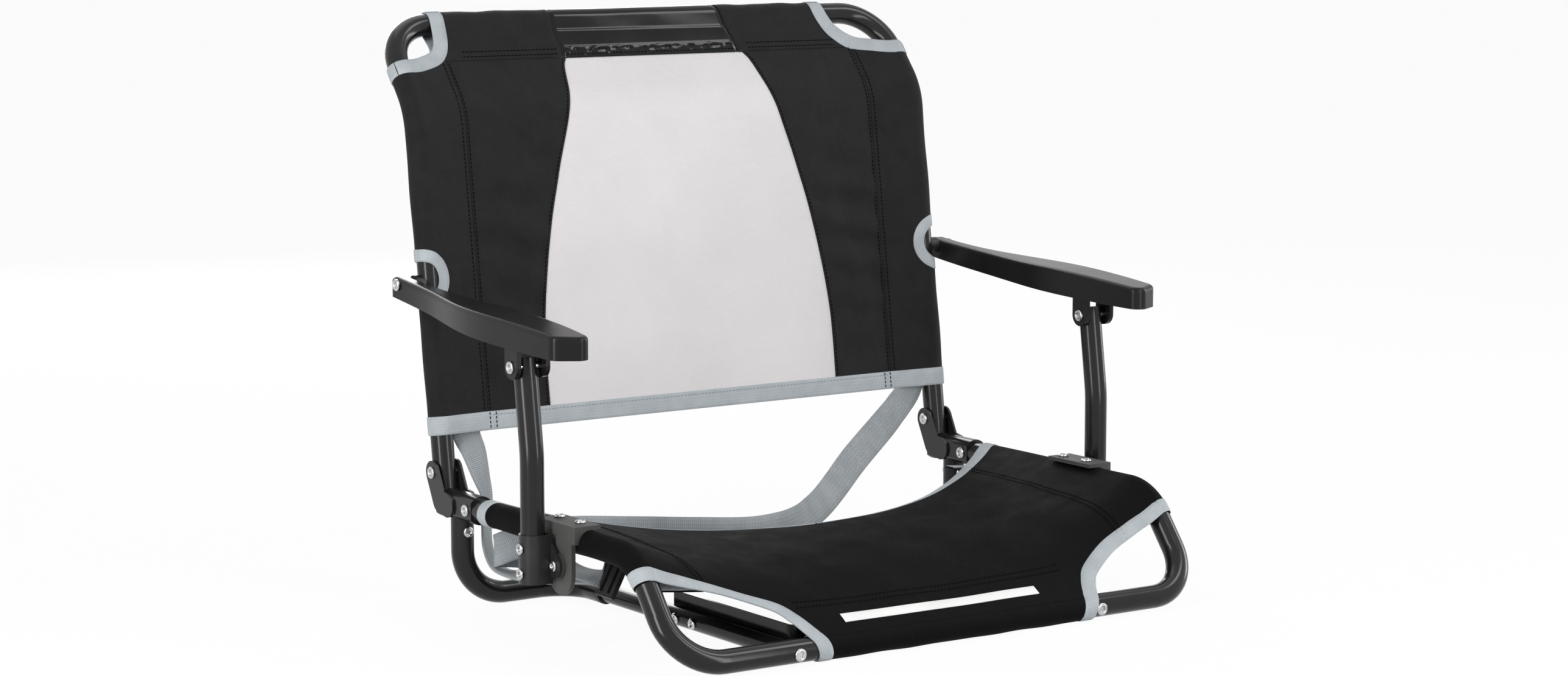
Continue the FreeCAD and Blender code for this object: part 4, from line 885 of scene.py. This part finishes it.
strap = {
    "wide": 26, "thick": 1.7, "round": 0.4,
    # x, fwd, z and the direction of the width
    "long": [(233, -5.3, 148, .85, 0, -.5), (227.6, -4, 137.2, .85, 0, -.5), (210, 2, 124, .8, .1, -.55),
             (189.4, 10, 111.4, .75, .2, -.6), (134.3, 42, 89.5, .55, .4, -.7), (92, 73, 75, .4, .45, -.8),
             (62, 96, 67, .3, .42, -.86), (38, 113, 62.5, .2, .38, -.9), (14, 129, 60, .1, .3, -.95),
             (-14, 141, 59, .05, .2, -1), (-52, 148, 60, 0, .1, -1), (-100, 141, 64, 0, 0, -1),
             (-150, 122, 67, 0, 0, -1), (-198, 98, 68, 0, 0, -1), (-228, 78, 60, 0, 0, -1),
             (-240, 62, 52, 0, 0, -1), (-232, 50, 48, 0, 0, -1), (-214, 58, 46, 0, 0, -1),
             (-207, 86, 42, -.7, 0, -.6), (-201, 116, 38.5, -1, 0, -.15), (-195.6, 142, 39, -1, 0, -.25),
             (-193.6, 151.4, 41.6, -.47, 0, -.88)],
    "short": [(-230, -6.2, 155, 1, 0, 0), (-230, -5.6, 146, 1, 0, 0), (-229.5, -5, 137, 1, 0, 0),
              (-225.5, -1, 124, 1, -.2, 0), (-221.8, 4, 104, .9, -.5, 0), (-219.6, 9, 87, .75, -.65, -.1),
              (-224.5, 17, 67, .7, -.7, -.1), (-229, 28, 47, .7, -.72, -.1), (-229, 42, 35, .66, -.74, -.05),
              (-225, 60, 30.5, .66, -.74, 0), (-214, 88, 30, .7, -.5, .1), (-203, 118, 33, .95, -.1, .15),
              (-193.5, 143, 37, .95, 0, .3), (-191.4, 151.4, 40.4, .47, 0, .88)],
}


def strapGrid(points, count):
    # flat webbing: a rounded slot outline carried along the smooth path, square to it; the ends close to a line
    path = smoothPath(points, count)
    line = seatPoint(path[:, 0], path[:, 1], path[:, 2])
    across = np.stack([path[:, 3], -path[:, 4], path[:, 5]], -1)
    along = unit(np.gradient(line, axis=0))
    across = squareTo(along, across)
    face = np.cross(along, across)
    half, t = strap["wide"] / 2, strap["thick"] / 2
    flank = half - strap["round"]
    under = [(-half, 0), (-flank, -t), (-half / 2, -t), (0, -t), (half / 2, -t), (flank, -t)]
    over = [(half, 0), (flank, t), (half / 2, t), (0, t), (-half / 2, t), (-flank, t)]
    outline = np.array(under + over + under[:1])
    flat = np.concatenate([[0.0], np.ones(count - 2), [0.0]])
    grid = (line[:, None, :] + outline[None, :, :1] * across[:, None, :]
            + outline[None, :, 1:] * flat[:, None, None] * face[:, None, :])
    return grid, pair(runLength(line)[:, None], outline[None, :, 0] + half)


strands = [strapGrid(strap["long"], 240), strapGrid(strap["short"], 150)]
webbing = meshPiece("carry_strap_web", strands, greyWebbing, None)
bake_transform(webbing)
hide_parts("carry_strap")
print("strap made")

# stitches

stitch = {
    "long": 2.8, "step": 3.6, "thick": 0.95,
    # lift of a thread's middle over the cloth's own middle, by what it lies on
    "onCloth": 0.5, "onStrip": 0.75, "onHem": 0.95, "acrossHem": 1.05,
    "hemIn": 5, "hemRow": 3, "hemOut": 205,  # rows across the hem tape, the row along it, its half length
    "meshOut": 2.2,  # row beside the mesh's edge
    "sleeveEnds": (98, 192),  # top rows beside the strip, then on it, a little lower
    "stripStart": 0.5, "stripEnd": {1: 83, -1: 92}, "stripDrop": 0.8,
    "seatRows": (0, 5), "frontRows": (0, 5.5), "frontOut": 131,
}


def stitchGrid(line, face):
    # short threads along a line: at each step a six-sided capsule that lies on the cloth
    run = runLength(line)
    at = np.arange(stitch["step"] / 2, run[-1], stitch["step"])

    def pick(values, where):
        return np.stack([np.interp(where, run, values[:, k]) for k in range(3)], -1)

    middle = pick(line, at)
    along = unit(pick(line, at + 0.5) - pick(line, at - 0.5))
    up = squareTo(along, pick(face, at))
    wide = np.cross(along, up)
    ends = np.array([(-0.5, 0.0), (-0.36, 0.8), (0.0, 1.0), (0.36, 0.8), (0.5, 0.0)])
    turn = np.linspace(0, 2 * pi, 7)
    r = stitch["thick"] / 2
    a = (ends[:, 0] * stitch["long"])[:, None] + 0 * turn
    b = ends[:, 1:] * r * np.cos(turn)
    c = ends[:, 1:] * r * np.sin(turn)
    grid = (middle[:, None, None] + a[None, :, :, None] * along[:, None, None]
            + b[None, :, :, None] * wide[:, None, None] + c[None, :, :, None] * up[:, None, None])
    return [(one, pair(a, turn[None, :] * r)) for one in grid]


def backLine(x, s, front, lift):
    # a line on the back cover's front or rear face with its facing direction
    sign = 1 if front else -1
    height = frontFace(x, s) + lift
    low, high = backPoint(x, s, sign * height), backPoint(x, s, sign * (height + 1.0))
    return low, high - low


def backStitches():
    c, onCloth = backCover, stitch["onCloth"]
    grids = []
    s = np.linspace(c["hem"] + c["hemTape"] + 1, seamS - 1, 120)
    cross = np.linspace(c["hem"], c["hem"] + c["hemTape"] - 0.5, 12)
    sleeve = np.linspace(*stitch["sleeveEnds"], 60)
    for side in (-1, 1):
        middle = np.linspace(stitch["stripStart"], stitch["stripEnd"][side], 60)
        for front in (True, False):
            for x in c["sideLines"]:
                grids += stitchGrid(*backLine(side * (x + 0 * s), s, front, onCloth))
                inner = x - stitch["hemIn"] + 0 * cross
                grids += stitchGrid(*backLine(side * inner, cross, front, stitch["acrossHem"]))
            grids += stitchGrid(*backLine(side * (meshEdge(s) + stitch["meshOut"]), s, front, onCloth))
            for down in c["topLines"]:
                row = c["topRail"] - down + 0 * sleeve
                grids += stitchGrid(*backLine(side * sleeve, row, front, onCloth))
                grids += stitchGrid(*backLine(side * middle, row - stitch["stripDrop"], front, stitch["onStrip"]))
    return grids


def tapeStitches():
    # grey thread near the hem tape's upper edge
    x = np.linspace(-stitch["hemOut"], stitch["hemOut"], 200)
    row = backCover["hem"] + backCover["hemTape"] - stitch["hemRow"] + 0 * x
    grids = []
    for front in (True, False):
        grids += stitchGrid(*backLine(x, row, front, stitch["onHem"]))
    return grids


def seatLine(x, fwd):
    # a line on the seat's upper face with its facing direction
    lift = stitch["onCloth"] + seatLift(x, fwd)
    low, high = panelPoint(x, fwd, lift), panelPoint(x, fwd, lift + 1.0)
    return low, high - low


def seatStitches():
    grids = []
    for side in (-1, 1):
        for gap in stitch["seatRows"]:
            x = seamX - gap
            fwd = np.linspace(rearEdge(x) + 1, frontEdge(side, x) - 1, 90)
            grids += stitchGrid(*seatLine(side * (x + 0 * fwd), fwd))
    x = np.linspace(-stitch["frontOut"], stitch["frontOut"], 100)
    for gap in stitch["frontRows"]:
        grids += stitchGrid(*seatLine(x, seatCover["frontSeam"] - gap + 0 * x))
    return grids


backThread = meshPiece("back_stitches", backStitches(), blackThread, "back")
hemThread = meshPiece("hem_stitches", tapeStitches(), greyThread, "back")
seatThread = meshPiece("seat_stitches", seatStitches(), blackThread, "seat")
print("stitches made")

# floor, light and camera

studio = {"floorTone": 0.86, "sky": 0.22, "cameraFloor": 0.95}


def studioRay(tree):
    # 1 for camera, glossy and transmission rays
    path = node(tree, "ShaderNodeLightPath").outputs
    seen = maths(tree, "MAXIMUM", path["Is Camera Ray"], path["Is Glossy Ray"])
    return maths(tree, "MAXIMUM", seen, path["Is Transmission Ray"])


floorMesh = bpy.data.meshes.new("floor")
floorMesh.from_pydata([(-40, -40, 0), (40, -40, 0), (40, 40, 0), (-40, 40, 0)], [], [(0, 1, 2, 3)])
floor = addObject("floor", floorMesh)
pale, tree, shader = startFinish("paleFloor")
setShader(shader, {"Base Color": (studio["floorTone"],) * 3 + (1,), "Roughness": 0.9, "Specular IOR Level": 0.1})
glow = node(tree, "ShaderNodeEmission", {"Color": (1, 1, 1, 1), "Strength": 1.0})
share = maths(tree, "MULTIPLY", studioRay(tree), studio["cameraFloor"])
both = node(tree, "ShaderNodeMixShader", {0: share, 1: shader.outputs[0], 2: glow.outputs[0]})
tree.links.new(both.outputs[0], tree.nodes["Material Output"].inputs["Surface"])
floorMesh.materials.append(pale)

world = bpy.data.worlds.new("studio")
bpy.context.scene.world = world
world.use_nodes = True
sky = world.node_tree.nodes["Background"]
sky.inputs["Color"].default_value = (1, 1, 1, 1)
level = span(world.node_tree, studioRay(world.node_tree), 0.0, 1.0, studio["sky"], 1.0)
world.node_tree.links.new(level, sky.inputs["Strength"])

# place, width and height, power: tall boxes for streaks on the tubes, and softer ones above and behind
lamps = {
    "leftStrip": ((-1.2, -0.36, 0.62), (0.26, 1.2), 12.0), "frontStrip": ((0.334, -1.2, 0.62), (0.26, 1.2), 8.0),
    "rimStrip": ((2.18, -0.33, 0.8), (0.4, 1.5), 15.0), "key": ((1.46, -0.91, 2.28), (0.7, 0.7), 10.0),
    "above": ((0.3, 1.2, 2.4), (1.6, 1.6), 8.0), "rear": ((0.7, 2.3, 1.1), (1.4, 1.4), 26.0),
}
lampAim = np.array([0.0, 0.0, 0.25])
for name, (place, size, power) in lamps.items():
    lamp = bpy.data.lights.new(name, "AREA")
    lamp.shape, lamp.size, lamp.size_y, lamp.energy = "RECTANGLE", size[0], size[1], power
    holder = addObject(name, lamp)
    holder.location, holder.visible_camera = place, False
    aim = lampAim - np.array(place)
    holder.rotation_euler = (np.arctan2(np.hypot(aim[0], aim[1]), -aim[2]), 0, np.arctan2(aim[1], aim[0]) - pi / 2)

# as in the photograph: fitted place in metres, angles in degrees
view = {"place": (-1.6571, -2.4088, 0.6079), "down": 7.62, "turn": -34.49, "sensor": 36.0, "lens": 81.05}
lens = bpy.data.cameras.new("camera")
lens.sensor_fit, lens.sensor_width, lens.lens = "HORIZONTAL", view["sensor"], view["lens"]
camera = addObject("camera", lens)
camera.location = view["place"]
camera.rotation_euler = (radians(90 - view["down"]), 0, radians(view["turn"]))
bpy.context.scene.camera = camera
bpy.context.scene.view_settings.view_transform = "Standard"
print("stage set")
